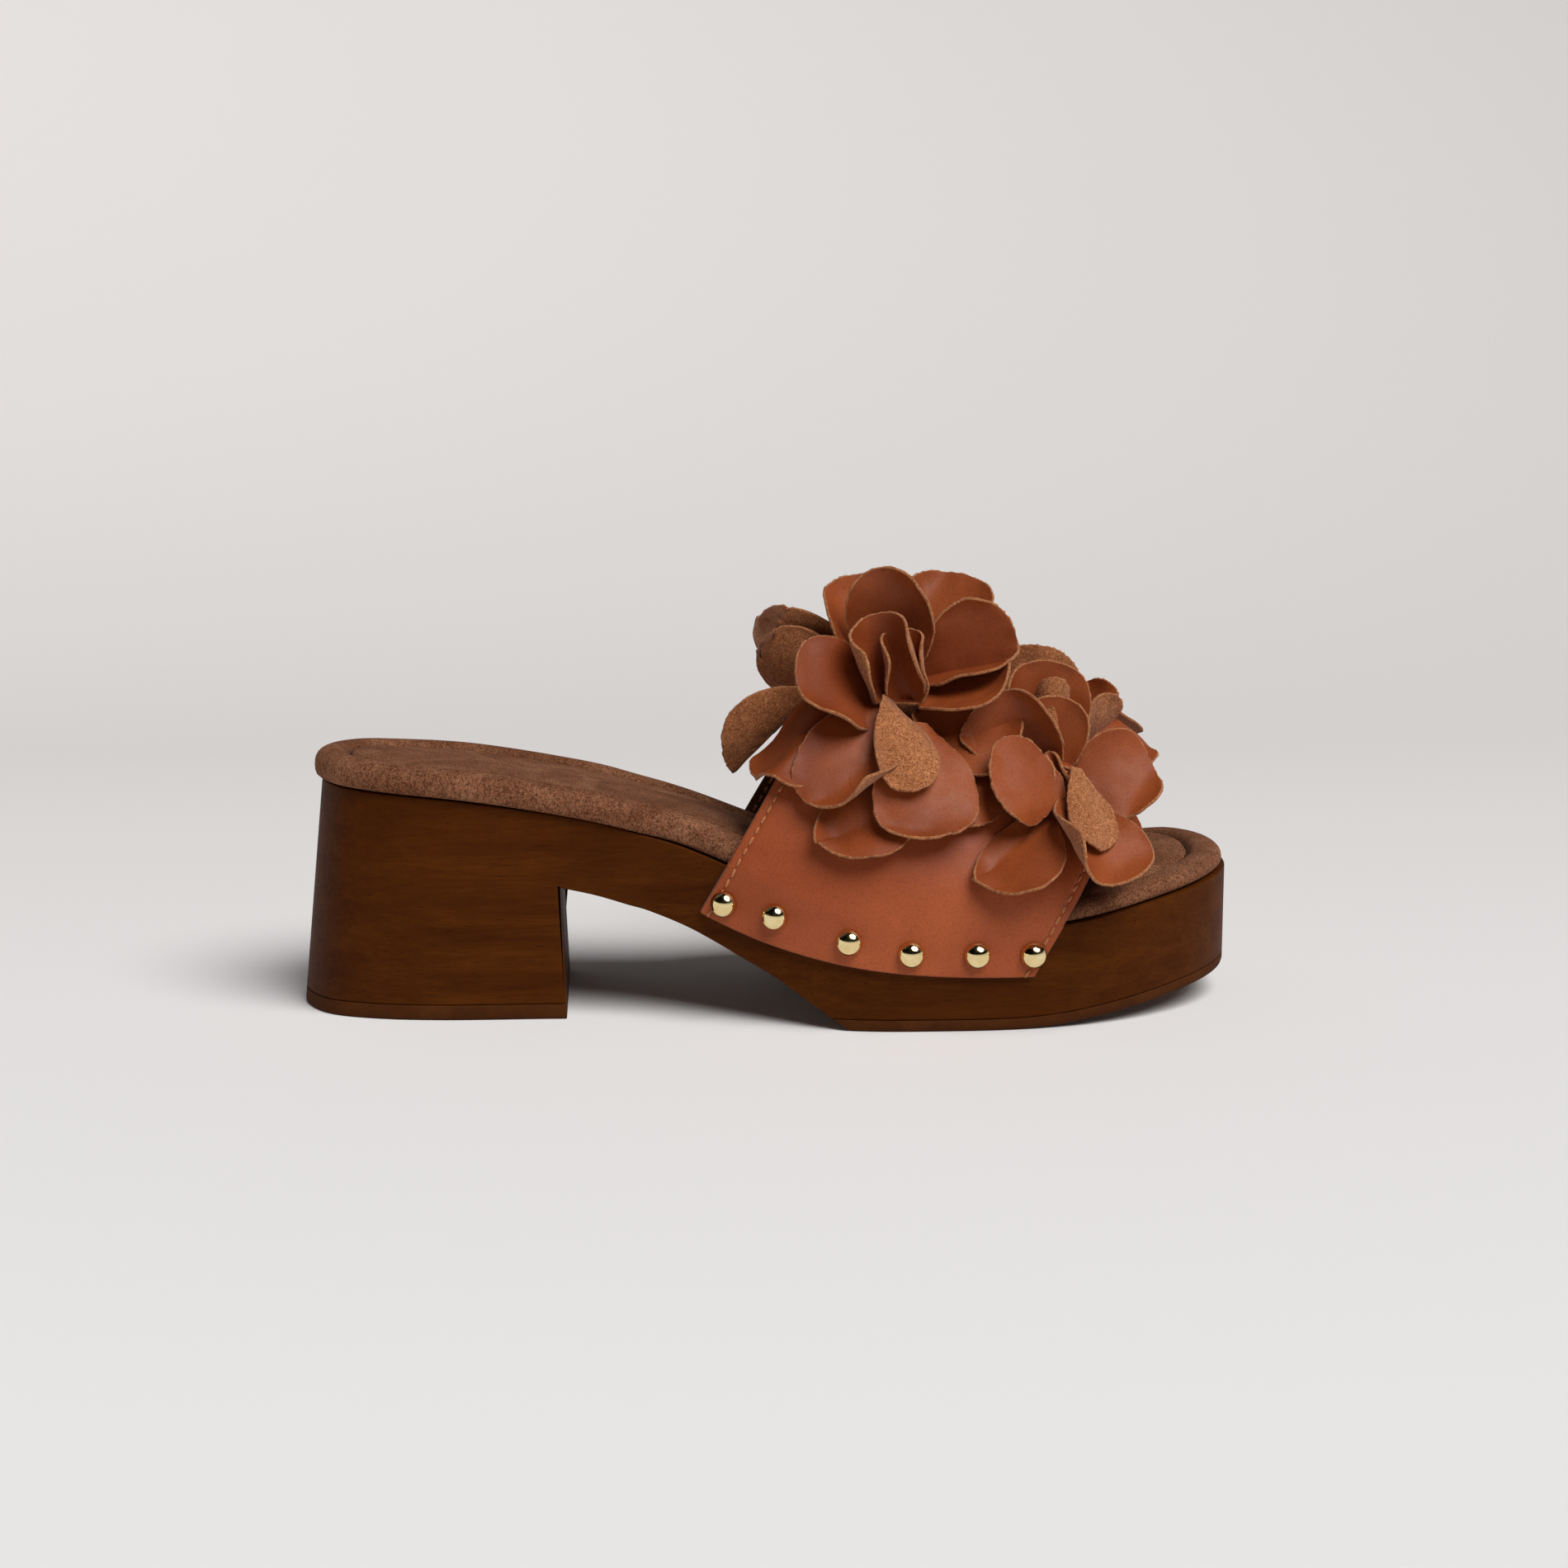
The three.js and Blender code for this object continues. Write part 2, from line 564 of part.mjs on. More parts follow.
// Middle point of a petal's wall. along runs from 0 at the root to 1 at the tip, across from -1 to 1.
function petalPoint(hub, row, along, across) {
  const frame = petalFrame(row);
  const length = row.reach * petalLength;
  const half = (row.breadth * petalWidth) / 2;
  const s = along * length - tipBow * half * (along * across) ** 2;
  const curl = THREE.MathUtils.degToRad(row.curl);
  const bend = (curl * s) / length;
  const steps = 6;
  let [forward, back] = [0, 0];
  for (let i = 0; i < steps; i++) {
    const angle = (bend * (i + 0.5)) / steps;
    forward += (s * Math.cos(angle)) / steps;
    back += (s * Math.sin(angle)) / steps;
  }
  const cup = THREE.MathUtils.degToRad(row.cup) / half;
  const width = across * half * outlineAt(along);
  const sideways = Math.sin(cup * width) / cup;
  const up = (1 - Math.cos(cup * width)) / cup;
  const face = frame.face.clone().multiplyScalar(Math.cos(bend)).addScaledVector(frame.along, Math.sin(bend));
  return new THREE.Vector3(row.ahead, row.inward, row.above)
    .multiplyScalar(hubRadius)
    .add(hub)
    .addScaledVector(frame.along, forward)
    .addScaledVector(frame.face, -back)
    .addScaledVector(frame.across, sideways)
    .addScaledVector(face, up);
}

// A petal's wall: its neck starts inside the hub and runs to the petal's root
const petalRows = 4;
const petalColumns = 3;
const rollCup = 90; // a petal cupped by more than this is a roll
const rollColumns = 7;
function petalSolid(hub, facing, row, wall) {
  const columns = row.cup > rollCup ? rollColumns : petalColumns;
  const pitch = petalWall + petalDrape;
  const gap = petalDrape + petalWall / 2 + row.layer * pitch;
  const blade = stationRange(0, 1, petalRows).map((along) =>
    stationRange(-1, 1, columns).map((across) =>
      clearOfVamp(petalPoint(hub, row, along, across), gap),
    ),
  );
  const root = blade[0][0].clone().add(blade[0][columns]).multiplyScalar(0.5);
  const inHub = hub.clone().addScaledVector(facing, petalDrape + (0.7 + row.layer) * pitch);
  const neck = blade[0].map((point) => point.clone().sub(root).multiplyScalar(neckShare).add(inHub));
  const middle = [neck, ...blade];
  const normalAt = (i, j) => {
    const [up, down] = [middle[Math.min(i + 1, petalRows + 1)][j], middle[Math.max(i - 1, 0)][j]];
    const [left, right] = [middle[i][Math.max(j - 1, 0)], middle[i][Math.min(j + 1, columns)]];
    return new THREE.Vector3().crossVectors(up.clone().sub(down), right.clone().sub(left)).normalize();
  };
  const offset = (distance) => middle.map((line, i) =>
    line.map((point, j) => point.clone().addScaledVector(normalAt(i, j), distance)),
  );
  return solidOf(wallSolid(offset(wall / 2), offset(-wall / 2)));
}

// Where a flower is sewn on: share of the vamp from its rear edge, and the place around it
const flowerSeats = [
  { name: "flower_rear", share: 0.234, around: 0.43, petals: rearPetals, side: 1 },
  { name: "flower_front_outer", share: 0.817, around: 0.375, petals: frontPetals, side: 1 },
  { name: "flower_front_inner", share: 0.8, around: 0.625, petals: frontPetals, side: -1 },
];

// Round button that the petals grow from: out is a share of its radius, up of its height
const hubProfile = [
  { out: 0, up: 0 },
  { out: 0.8, up: 0 },
  { out: 1, up: 0.25 },
  { out: 0.5, up: 0.9 },
  { out: 0, up: 1 },
];

// The petals of a flower on the inner side run the other way across the shoe
const mirrored = (row) => ({ ...row, inward: -row.inward, turn: -row.turn, roll: -row.roll });

// A flower whose petals are thicker, wider and longer all round by margin
function flowerSolid({ share, around, petals, side }, margin) {
  const plane = planeRear + share * (planeFront - planeRear);
  const hub = vampPoint(plane, around, seam + vampWall);
  const facing = vampPoint(plane, around, seam + vampWall + 1).sub(hub).normalize();
  const button = lathe(hubProfile.map((row) => [row.out * hubRadius, row.up * hubHeight]), 8);
  const grown = (row) => ({
    ...row,
    reach: row.reach + margin / petalLength,
    breadth: row.breadth + (2 * margin) / petalWidth,
  });
  const rows = petals.map(side < 0 ? mirrored : (row) => row).map(grown);
  const solids = rows.map((row) => petalSolid(hub, facing, row, petalWall + 2 * margin));
  return solids.reduce((all, one) => all.add(one), solidOf(turned(button, { at: hub, facing }, 2 * seam)));
}

const materials = {
  wood: new THREE.MeshStandardMaterial({ color: 0x6b3a1c, roughness: 0.45 }),
  rubber: new THREE.MeshStandardMaterial({ color: 0x4a2a1c, roughness: 0.75 }),
  suede: new THREE.MeshStandardMaterial({ color: 0x6e4733, roughness: 0.95 }),
  leather: new THREE.MeshStandardMaterial({ color: 0x9a5030, roughness: 0.5 }),
  brass: new THREE.MeshStandardMaterial({ color: 0xc9a552, roughness: 0.2, metalness: 1 }),
};

const shoe = new THREE.Group();
shoe.position.x = -originStation;

function add(name, geometry, material) {
  geometry.computeVertexNormals();
  const mesh = new THREE.Mesh(geometry, material);
  mesh.name = name;
  shoe.add(mesh);
  return mesh;
}

// Padded footbed: rings from its underside, round the edge, over the pillow border and the groove.
// inward is a share of the border's width, up of the thickness and sunk of the groove's depth.
function footbed() {
  const fadeEnd = hemRear - vampApproach;
  const ease = (x) => THREE.MathUtils.smoothstep(x, fadeEnd - overhangFade, fadeEnd);
  const marginAt = (x) => {
    const toe = THREE.MathUtils.smoothstep(x, springStart, soleLength);
    return -heelOverhang * (1 - ease(x)) + (vampMargin + (toeMargin - vampMargin) * toe) * ease(x);
  };
  const profile = [
    { inward: 0.22, up: 0, sunk: 0 },
    { inward: 0.04, up: 0.08, sunk: 0 },
    { inward: 0, up: 0.4, sunk: 0 },
    { inward: 0.055, up: 0.72, sunk: 0 },
    { inward: 0.245, up: 0.95, sunk: 0 },
    { inward: 0.5, up: 1.03, sunk: 0 },
    { inward: 0.82, up: 0.95, sunk: 0 },
    { inward: 1, up: 0.95, sunk: 1 },
    { inward: 1.18, up: 0.93, sunk: 0 },
    { inward: 1.7, up: 0.98, sunk: 0 },
  ];
  const thicknessAt = (x) => THREE.MathUtils.lerp(
    footbedThickness,
    footbedToeThickness,
    THREE.MathUtils.smoothstep(x, hemRear, hemFront),
  );
  const rings = profile.map(({ inward, up, sunk }) =>
    ringAt(
      (x) => marginAt(x) + inward * borderWidth,
      (x) => topAt(x) + seam + up * thicknessAt(x) - sunk * grooveDepth,
      (x) => rakeAt(x, heelHeight),
    ),
  );
  return loft(rings);
}

const seats = [];
for (const [sideName, side] of [["outer", -1], ["inner", 1]]) {
  studRow.forEach((row, i) => seats.push({ name: `stud_${sideName}_${i + 1}`, ...studSeat(row, side) }));
}
const holes = seats.map(studHole);
const cutAll = (solid, cutters) => cutters.reduce((left, cutter) => left.subtract(cutter), solid);

const block = soleBlock();
const wood = block.subtract(heelZone(heelLift + seam)).subtract(foreZone(treadThickness + seam));
add("clog_sole", geometryOf(cutAll(wood, holes)), materials.wood);
add("heel_top_piece", geometryOf(block.intersect(heelZone(heelLift))), materials.rubber);
add("forefoot_tread", geometryOf(block.intersect(foreZone(treadThickness))), materials.rubber);
add("padded_footbed", footbed(), materials.suede);

const vamp = solidOf(wallSolid(vampGrid(seam + vampWall), vampGrid(seam)));
add("vamp", geometryOf(cutAll(vamp, holes)), materials.leather);

// Each flower is cut clear of the vamp and of the earlier flowers, and its largest body is kept
const clearances = [solidOf(wallSolid(vampGrid(vampWall + 2 * seam, seam), vampGrid(0, seam)))];
for (const seat of flowerSeats) {
  const solid = cutAll(flowerSolid(seat, 0), clearances);
  const bodies = solid.decompose().sort((a, b) => b.volume() - a.volume());
  add(seat.name, geometryOf(bodies[0]), materials.leather);
  clearances.push(flowerSolid(seat, seam));
}
for (const seat of seats) add(seat.name, turned(studGeometry(), seat, domeLift), materials.brass);

export default shoe;
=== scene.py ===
# Looks of a women's right mule: a stained wooden clog sole with a block heel, a suede footbed, a
# leather vamp nailed on with brass domes, and leather flowers. The shapes are worked out in
# millimetres, along stations from the back of the heel, and become metres in the part's frame.
import math

import bpy
import numpy as np
from mathutils import Matrix, Vector, noise


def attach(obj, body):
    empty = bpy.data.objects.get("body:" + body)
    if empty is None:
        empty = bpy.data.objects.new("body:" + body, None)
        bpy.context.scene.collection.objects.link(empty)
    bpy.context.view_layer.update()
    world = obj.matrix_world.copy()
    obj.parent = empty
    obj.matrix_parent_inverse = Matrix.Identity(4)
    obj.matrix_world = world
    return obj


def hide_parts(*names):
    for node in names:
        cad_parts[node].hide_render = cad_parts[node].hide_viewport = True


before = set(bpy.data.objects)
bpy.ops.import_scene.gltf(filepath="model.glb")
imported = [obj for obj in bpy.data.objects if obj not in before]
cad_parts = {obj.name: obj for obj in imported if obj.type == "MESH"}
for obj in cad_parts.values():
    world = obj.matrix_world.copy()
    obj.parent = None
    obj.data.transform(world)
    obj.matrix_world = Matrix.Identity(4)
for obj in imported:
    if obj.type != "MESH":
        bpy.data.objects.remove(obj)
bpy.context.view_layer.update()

# Sizes of the sole
SOLE_LENGTH = 250
HEEL_WIDTH = 59
BALL_WIDTH = 91
HEEL_HEIGHT = 61.2
PLATFORM_HEIGHT = 25.5
TOE_SPRING = 9
TREAD_START = 142
SPRING_START = 180
HEEL_LENGTH = 70.5
BREAST_LEAN = 1.8
ARCH_HEIGHT = 34.6
HEEL_RAKE = 6.2
HEEL_LIFT = 4
TREAD_THICKNESS = 3
TREAD_EDGE_ROUND = 0.9
SEAM = 0.3
GLUE_LINE = 0.12
WOOD_EDGE_ROUND = 0.4
RUBBER_EDGE_ROUND = 0.3
ORIGIN_STATION = HEEL_LENGTH / 2

# Sizes of the footbed
FOOTBED_THICKNESS = 6.6
FOOTBED_TOE_THICKNESS = 4
HEEL_OVERHANG = 2
OVERHANG_FADE = 22
VAMP_APPROACH = 3
TOE_MARGIN = 0.9
BORDER_WIDTH = 9
GROOVE_DEPTH = 1.9

# Sizes of the vamp
VAMP_WALL = 2
VAMP_LEAN = 0.58
VAMP_TURN = 0.1
HEM_REAR = 104.5
HEM_FRONT = 188.6
HEM_REAR_DROP = 14.8
HEM_FRONT_DROP = 12
HEM_SAG = 4.8
HEM_SKEW = 0.2
INSTEP_HEIGHT = 88
TOE_OPENING_HEIGHT = 56
ARCH_FULLNESS = 2.2
INSTEP_SHIFT = 3
WALL_PART = 0.15
EDGE_STITCH_INSET = 2.2
STITCH_PITCH = 3.1
STITCH_LENGTH = 2.2
THREAD_WIDTH = 0.75

# Sizes of the nails
NAIL_RADIUS = 3.4
NAIL_HEIGHT = 2.9
NAIL_ABOVE_HEM = 6

# Sizes of the flowers
PETAL_LENGTH = 32
PETAL_WIDTH = 27
PETAL_WALL = 0.8
PETAL_DRAPE = 0.5
PETAL_PITCH = 1.7
HUB_RADIUS = 6
OVER_EDGE_DROP = 2.4

# Plan of the sole from the back of the heel along the outer side: share of the length, then share
# of half the heel's or half the ball's width
HEEL_PLAN_OUTER = [
    (0.0, 0.0), (0.008, -0.33), (0.035, -0.67), (0.085, -0.87), (0.15, -0.97), (0.28, -1.0),
    (0.36, -1.06), (0.42, -1.18),
]
BALL_PLAN = [
    (0.5, -0.92), (0.58, -1.06), (0.66, -1.095), (0.74, -1.085), (0.82, -1.01), (0.89, -0.85),
    (0.95, -0.6), (0.985, -0.3), (0.997, 0.05), (0.99, 0.4), (0.965, 0.68), (0.92, 0.83),
    (0.85, 0.9), (0.76, 0.92), (0.66, 0.88), (0.56, 0.77),
]
HEEL_PLAN_INNER = [
    (0.47, 1.01), (0.38, 0.94), (0.28, 0.97), (0.15, 0.97), (0.085, 0.87), (0.035, 0.67),
    (0.008, 0.33),
]

# Top line of the wood: share of the length, rise as a share of the heel's height over the platform,
# spring as a share of the toe spring
TOP_LINE = [
    (-0.02, 1.0, 0), (0.078, 0.945, 0), (0.176, 0.885, 0), (0.294, 0.757, 0), (0.362, 0.64, 0),
    (0.412, 0.532, 0), (0.492, 0.308, 0), (0.568, 0.115, 0), (0.632, 0.03, 0), (0.7, 0, 0),
    (0.76, 0, 0.08), (0.82, 0, 0.26), (0.89, 0, 0.6), (0.95, 0, 0.88), (1.02, 0, 1.18),
]
# Underside behind the forefoot tread: share of that gap, share of the arch height
ARCH_LINE = [
    (0.1, 0.945), (0.22, 0.872), (0.3, 0.825), (0.45, 0.7), (0.63, 0.5), (0.75, 0.36), (0.86, 0.2),
]
# Spring of the tread ahead of where it leaves the floor: share of that length, share of the spring
SPRING_LINE = [
    (0, 0), (0.14, 0.03), (0.29, 0.14), (0.44, 0.3), (0.6, 0.49), (0.76, 0.69), (1.05, 1.0),
]


def spline(points, steps=16, closed=False):
    """Points of a smooth curve through the given ones; a closed one keeps uneven points free of loops."""
    p = np.array(points, float)
    ends = (p[-1], p[0], p[1]) if closed else (p[0], p[-1], p[-1])
    knots = np.vstack([ends[0], p, *ends[1:]]) if closed else np.vstack([ends[0], p, ends[1]])
    t = np.linspace(0, 1, steps, endpoint=False)[:, None]
    runs = []
    for a, b, c, d in zip(knots, knots[1:], knots[2:], knots[3:]):
        first, second, third = (
            (np.linalg.norm(v - u) ** 0.5 if closed else 1.0) for u, v in ((a, b), (b, c), (c, d))
        )
        first, third = first or second, third or second
        leave = ((b - a) / first - (c - a) / (first + second) + (c - b) / second) * second
        reach = ((c - b) / second - (d - b) / (second + third) + (d - c) / third) * second
        curve = (2 * b - 2 * c + leave + reach) * t**3 + (3 * c - 3 * b - 2 * leave - reach) * t**2
        runs.append(curve + leave * t + b)
    return np.vstack(runs if closed else [*runs, p[-1:]])


def line_at(points):
    """Value at a station, by a smooth curve through a table's points."""
    samples = spline(points)
    stations = np.maximum.accumulate(samples[:, 0])
    return lambda x: np.interp(x, stations, samples[:, 1])


def even_loop(samples, count):
    """Evenly spaced points of a closed line, from its first point, with their tangents."""
    loop = np.vstack([samples, samples[:1]])
    lengths = np.concatenate([[0], np.cumsum(np.linalg.norm(np.diff(loop, axis=0), axis=1))])
    wanted = np.arange(count) / count * lengths[-1]
    points = np.stack([np.interp(wanted, lengths, loop[:, k]) for k in range(loop.shape[1])], 1)
    tangents = np.roll(points, -1, 0) - np.roll(points, 1, 0)
    return points, tangents / np.linalg.norm(tangents, axis=1)[:, None]


PLAN = [(at, across * HEEL_WIDTH / 2) for at, across in HEEL_PLAN_OUTER]
PLAN += [(at, across * BALL_WIDTH / 2) for at, across in BALL_PLAN]
PLAN += [(at, across * HEEL_WIDTH / 2) for at, across in HEEL_PLAN_INNER]
plan_samples = spline([(at * SOLE_LENGTH, y) for at, y in PLAN], closed=True)
toe_index = int(plan_samples[:, 0].argmax())
outer_samples = plan_samples[: toe_index + 1]
inner_samples = plan_samples[toe_index:][::-1]

top_at = line_at([
    (at * SOLE_LENGTH, PLATFORM_HEIGHT + rise * (HEEL_HEIGHT - PLATFORM_HEIGHT) + spring * TOE_SPRING)
    for at, rise, spring in TOP_LINE
])
spring_at = line_at([
    (SPRING_START + along * (SOLE_LENGTH - SPRING_START), up * TOE_SPRING) for along, up in SPRING_LINE
])


def tread_at(x):
    return np.where(np.asarray(x) < SPRING_START, 0, spring_at(x))


def half_width_at(x, side):
    """Half the sole's width at a station; side is -1 outer or 1 inner, or an array of them."""
    outer = np.abs(np.interp(x, outer_samples[:, 0], outer_samples[:, 1]))
    inner = np.abs(np.interp(x, np.maximum.accumulate(inner_samples[:, 0]), inner_samples[:, 1]))
    return np.where(np.asarray(side) < 0, outer, inner)


def smoothstep(x, low, high):
    share = np.clip((np.asarray(x, float) - low) / (high - low), 0, 1)
    return share * share * (3 - 2 * share)


def srgb(red, green, blue):
    """A colour as the eye reads it, on a scale to 255, as a shader's linear colour."""
    return tuple((c / 255) ** 2.2 for c in (red, green, blue)) + (1.0,)


# Meshes

WELD_REACH = 0.08
BEVEL_STEPS = 3


def metres(points):
    return (np.asarray(points, float) - (ORIGIN_STATION, 0, 0)) / 1000


def mesh_piece(name, points, faces, materials, indices=None, smooth=True):
    """A mesh object from points in millimetres."""
    mesh = bpy.data.meshes.new(name)
    mesh.from_pydata(metres(points).tolist(), [], [tuple(int(i) for i in face) for face in faces])
    for material in materials:
        mesh.materials.append(material)
    if indices is not None:
        mesh.polygons.foreach_set("material_index", np.asarray(indices, np.int32))
    mesh.polygons.foreach_set("use_smooth", np.full(len(mesh.polygons), smooth))
    mesh.update()
    made = bpy.data.objects.new(name, mesh)
    bpy.context.scene.collection.objects.link(made)
    return made


def bake(made):
    """Turns an object's modifiers into its plain mesh."""
    evaluated = made.evaluated_get(bpy.context.evaluated_depsgraph_get())
    mesh = bpy.data.meshes.new_from_object(evaluated)
    made.modifiers.clear()
    made.data = mesh
    return made


def cut(made, cutter, operation="DIFFERENCE"):
    """Cuts a mesh object with another, which is used up."""
    modifier = made.modifiers.new("cut", "BOOLEAN")
    modifier.operation = operation
    modifier.solver = "EXACT"
    modifier.object = cutter
    bake(made)
    bpy.data.objects.remove(cutter)
    return made


def soften(made, width, angle=35):
    """Merges a piece's doubled points, rounds its sharp edges and shades it smoothly between them."""
    weld = made.modifiers.new("weld", "WELD")
    weld.merge_threshold = WELD_REACH / 1000
    bevel = made.modifiers.new("round", "BEVEL")
    bevel.width = width / 1000
    bevel.segments = BEVEL_STEPS
    bevel.limit_method = "ANGLE"
    bevel.angle_limit = math.radians(angle)
    bevel.use_clamp_overlap = False
    bevel.harden_normals = False
    bake(made)
    made.data.polygons.foreach_set("use_smooth", np.full(len(made.data.polygons), True))
    made.data.set_sharp_from_angle(angle=math.radians(angle))
    return made


def show(made, slot, *nodes):
    """Puts a finished piece on the shoe, in place of the CAD nodes it stands for."""
    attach(made, "root")
    if nodes:
        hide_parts(*nodes)
    return made


def loft_faces(rings, size):
    """Faces round a stack of rings, lowest first."""
    faces = []
    for r in range(rings - 1):
        for i in range(size):
            a, b = r * size + i, r * size + (i + 1) % size
            faces.append((a, b, b + size, a + size))
    return faces


def strips_across(start, size, upward):
    """Faces that close a ring straight across, from one side to the other."""
    faces = []
    for i in range(size // 2 - 1):
        a, b, c, d = start + i, start + i + 1, start + size - 2 - i, start + size - 1 - i
        faces.append((a, b, c, d) if upward else (a, d, c, b))
    return faces


RING_COUNT = 280
BREAST_MARGIN = 0.5


def clear_of_breast(points):
    """Moves the two nearest points on each side of the breast's edge, so that no facet is a sliver."""
    for station in (HEEL_LENGTH - BREAST_LEAN - BREAST_MARGIN, HEEL_LENGTH + BREAST_MARGIN):
        for side in (-1, 1):
            far = np.where(points[:, 1] * side > 0, np.abs(points[:, 0] - station), np.inf)
            points[far.argmin()] = (station, side * half_width_at(station, side))
    return points


ring_points, ring_tangents = even_loop(plan_samples, RING_COUNT)
ring_points = clear_of_breast(ring_points)
ring_outward = np.stack([ring_tangents[:, 1], -ring_tangents[:, 0]], 1)


def rake_at(x, z):
    """The back of the heel leans forward with height, fading out towards the breast."""
    return HEEL_RAKE * np.maximum(0, 1 - x / HEEL_LENGTH) * z / HEEL_HEIGHT


def ring_at(inset, height, rake=rake_at):
    """A ring of the plan, drawn in by inset, at a height; both may follow the station."""
    x = ring_points[:, 0]
    inward = np.broadcast_to(inset, x.shape)[:, None]
    z = np.broadcast_to(height, x.shape)
    plan = ring_points - ring_outward * inward
    return np.column_stack([plan[:, 0] + rake(x, z), plan[:, 1], z])


def across_sole(name, profile):
    """A prism of a side profile, right across the sole, to cut with."""
    n = len(profile)
    points = [(x, y, z) for y in (-BALL_WIDTH, BALL_WIDTH) for x, z in profile]
    faces = [tuple(range(n)), tuple(range(2 * n - 1, n - 1, -1))]
    faces += [((i + 1) % n, i, n + i, n + (i + 1) % n) for i in range(n)]
    return mesh_piece(name, points, faces, [], smooth=False)


def sole_block(name, materials):
    """The whole sole as one block, under its top line and clear of the arch."""
    high = HEEL_HEIGHT + FOOTBED_THICKNESS
    x = ring_points[:, 0]
    round_edge = TREAD_EDGE_ROUND
    rings = [
        ring_at(round_edge, tread_at(x)),
        ring_at(0.3 * round_edge, tread_at(x) + 0.4 * round_edge),
        ring_at(0, tread_at(x) + 1.4 * round_edge),
        ring_at(0, high),
    ]
    faces = strips_across(0, RING_COUNT, False) + loft_faces(len(rings), RING_COUNT)
    faces += strips_across((len(rings) - 1) * RING_COUNT, RING_COUNT, True)
    block = mesh_piece(name, np.vstack(rings), faces, materials)
    margin = 5
    stations = np.linspace(-margin, SOLE_LENGTH + margin, 140)
    above = list(zip(stations, top_at(stations)))
    above += [(SOLE_LENGTH + margin, high + margin), (-margin, high + margin)]
    cut(block, across_sole("above", above))
    gap = TREAD_START - HEEL_LENGTH
    points = [(HEEL_LENGTH - BREAST_LEAN, ARCH_HEIGHT)]
    points += [(HEEL_LENGTH + along * gap, up * ARCH_HEIGHT) for along, up in ARCH_LINE]
    under = [(HEEL_LENGTH, -margin), *spline([*points, (TREAD_START, 0)], 6), (TREAD_START, -margin)]
    return cut(block, across_sole("arch", under[::-1]))


def tread_zone(name, start, end, thickness, steps):
    """The space under the sole that a tread's rubber fills, from one station to another."""
    x = np.linspace(start, end, steps + 1)
    low = list(zip(x, tread_at(x) - TREAD_EDGE_ROUND - thickness))
    high = list(zip(x, tread_at(x) + thickness))
    return across_sole(name, low + high[::-1])


# The vamp, in planes that lean forward with height and turn forward towards the inner side

def station_of(plane, y, z):
    return plane + VAMP_LEAN * z + VAMP_TURN * y


def plane_of(x, y, z):
    return x - VAMP_LEAN * z - VAMP_TURN * y


HEM_REAR_HEIGHT = top_at(HEM_REAR) - HEM_REAR_DROP
HEM_FRONT_HEIGHT = top_at(HEM_FRONT) - HEM_FRONT_DROP
PLANE_REAR = plane_of(HEM_REAR, -half_width_at(HEM_REAR, -1), HEM_REAR_HEIGHT)
PLANE_FRONT = plane_of(HEM_FRONT, -half_width_at(HEM_FRONT, -1), HEM_FRONT_HEIGHT)


def hem_at(plane):
    share = (plane - PLANE_REAR) / (PLANE_FRONT - PLANE_REAR)
    chord = HEM_REAR_HEIGHT + (HEM_FRONT_HEIGHT - HEM_REAR_HEIGHT) * share
    return chord - HEM_SAG * 4 * share * (1 - share) * (1 + HEM_SKEW - 2 * HEM_SKEW * share)


def crown_at(plane):
    share = (plane - PLANE_REAR) / (PLANE_FRONT - PLANE_REAR)
    return INSTEP_HEIGHT + (TOE_OPENING_HEIGHT - INSTEP_HEIGHT) * share


def side_point(plane, side, height):
    """Where planes of the vamp meet the side of the sole, at a height or one worked out by station."""
    plane = np.asarray(plane, float)
    x, y = plane, np.zeros_like(plane)
    for _ in range(12):
        z = height(x) if callable(height) else height
        x = station_of(plane, y, z)
        y = side * half_width_at(x, side)
    return np.stack(np.broadcast_arrays(x, y, z), -1)


def vamp_points(plane, around, out):
    """Points of the vamp. around runs from 0 at the outer hem to 1 at the inner hem; out is the
    distance outside the sole's side."""
    plane, around, out = np.broadcast_arrays(np.asarray(plane, float), around, out)
    side = np.where(around < 0.5, -1, 1)
    from_hem = np.minimum(around, 1 - around)
    rim = side_point(plane, side, top_at)
    z = hem_at(plane) + (rim[..., 2] - hem_at(plane)) * np.minimum(1, from_hem / WALL_PART)
    wall = side_point(plane, side, z)
    wall[..., 1] += side * out
    outer, inner = side_point(plane, -1, top_at), side_point(plane, 1, top_at)
    angle = np.pi * np.clip((around - WALL_PART) / (1 - 2 * WALL_PART), 0, 1)
    power = 2 / ARCH_FULLNESS
    across = np.sign(np.cos(angle)) * np.abs(np.cos(angle)) ** power
    lift = np.maximum(0, np.sin(angle)) ** power
    share = (1 - across) / 2
    width = inner[..., 1] - outer[..., 1] + 2 * out
    y = outer[..., 1] - out + width * share + INSTEP_SHIFT * lift**2
    spring = outer[..., 2] + (inner[..., 2] - outer[..., 2]) * share
    z = spring + (crown_at(plane) - SEAM - VAMP_WALL + out - spring) * lift
    arch = np.stack([station_of(plane, y, z), y, z], -1)
    return np.where((from_hem < WALL_PART)[..., None], wall, arch)


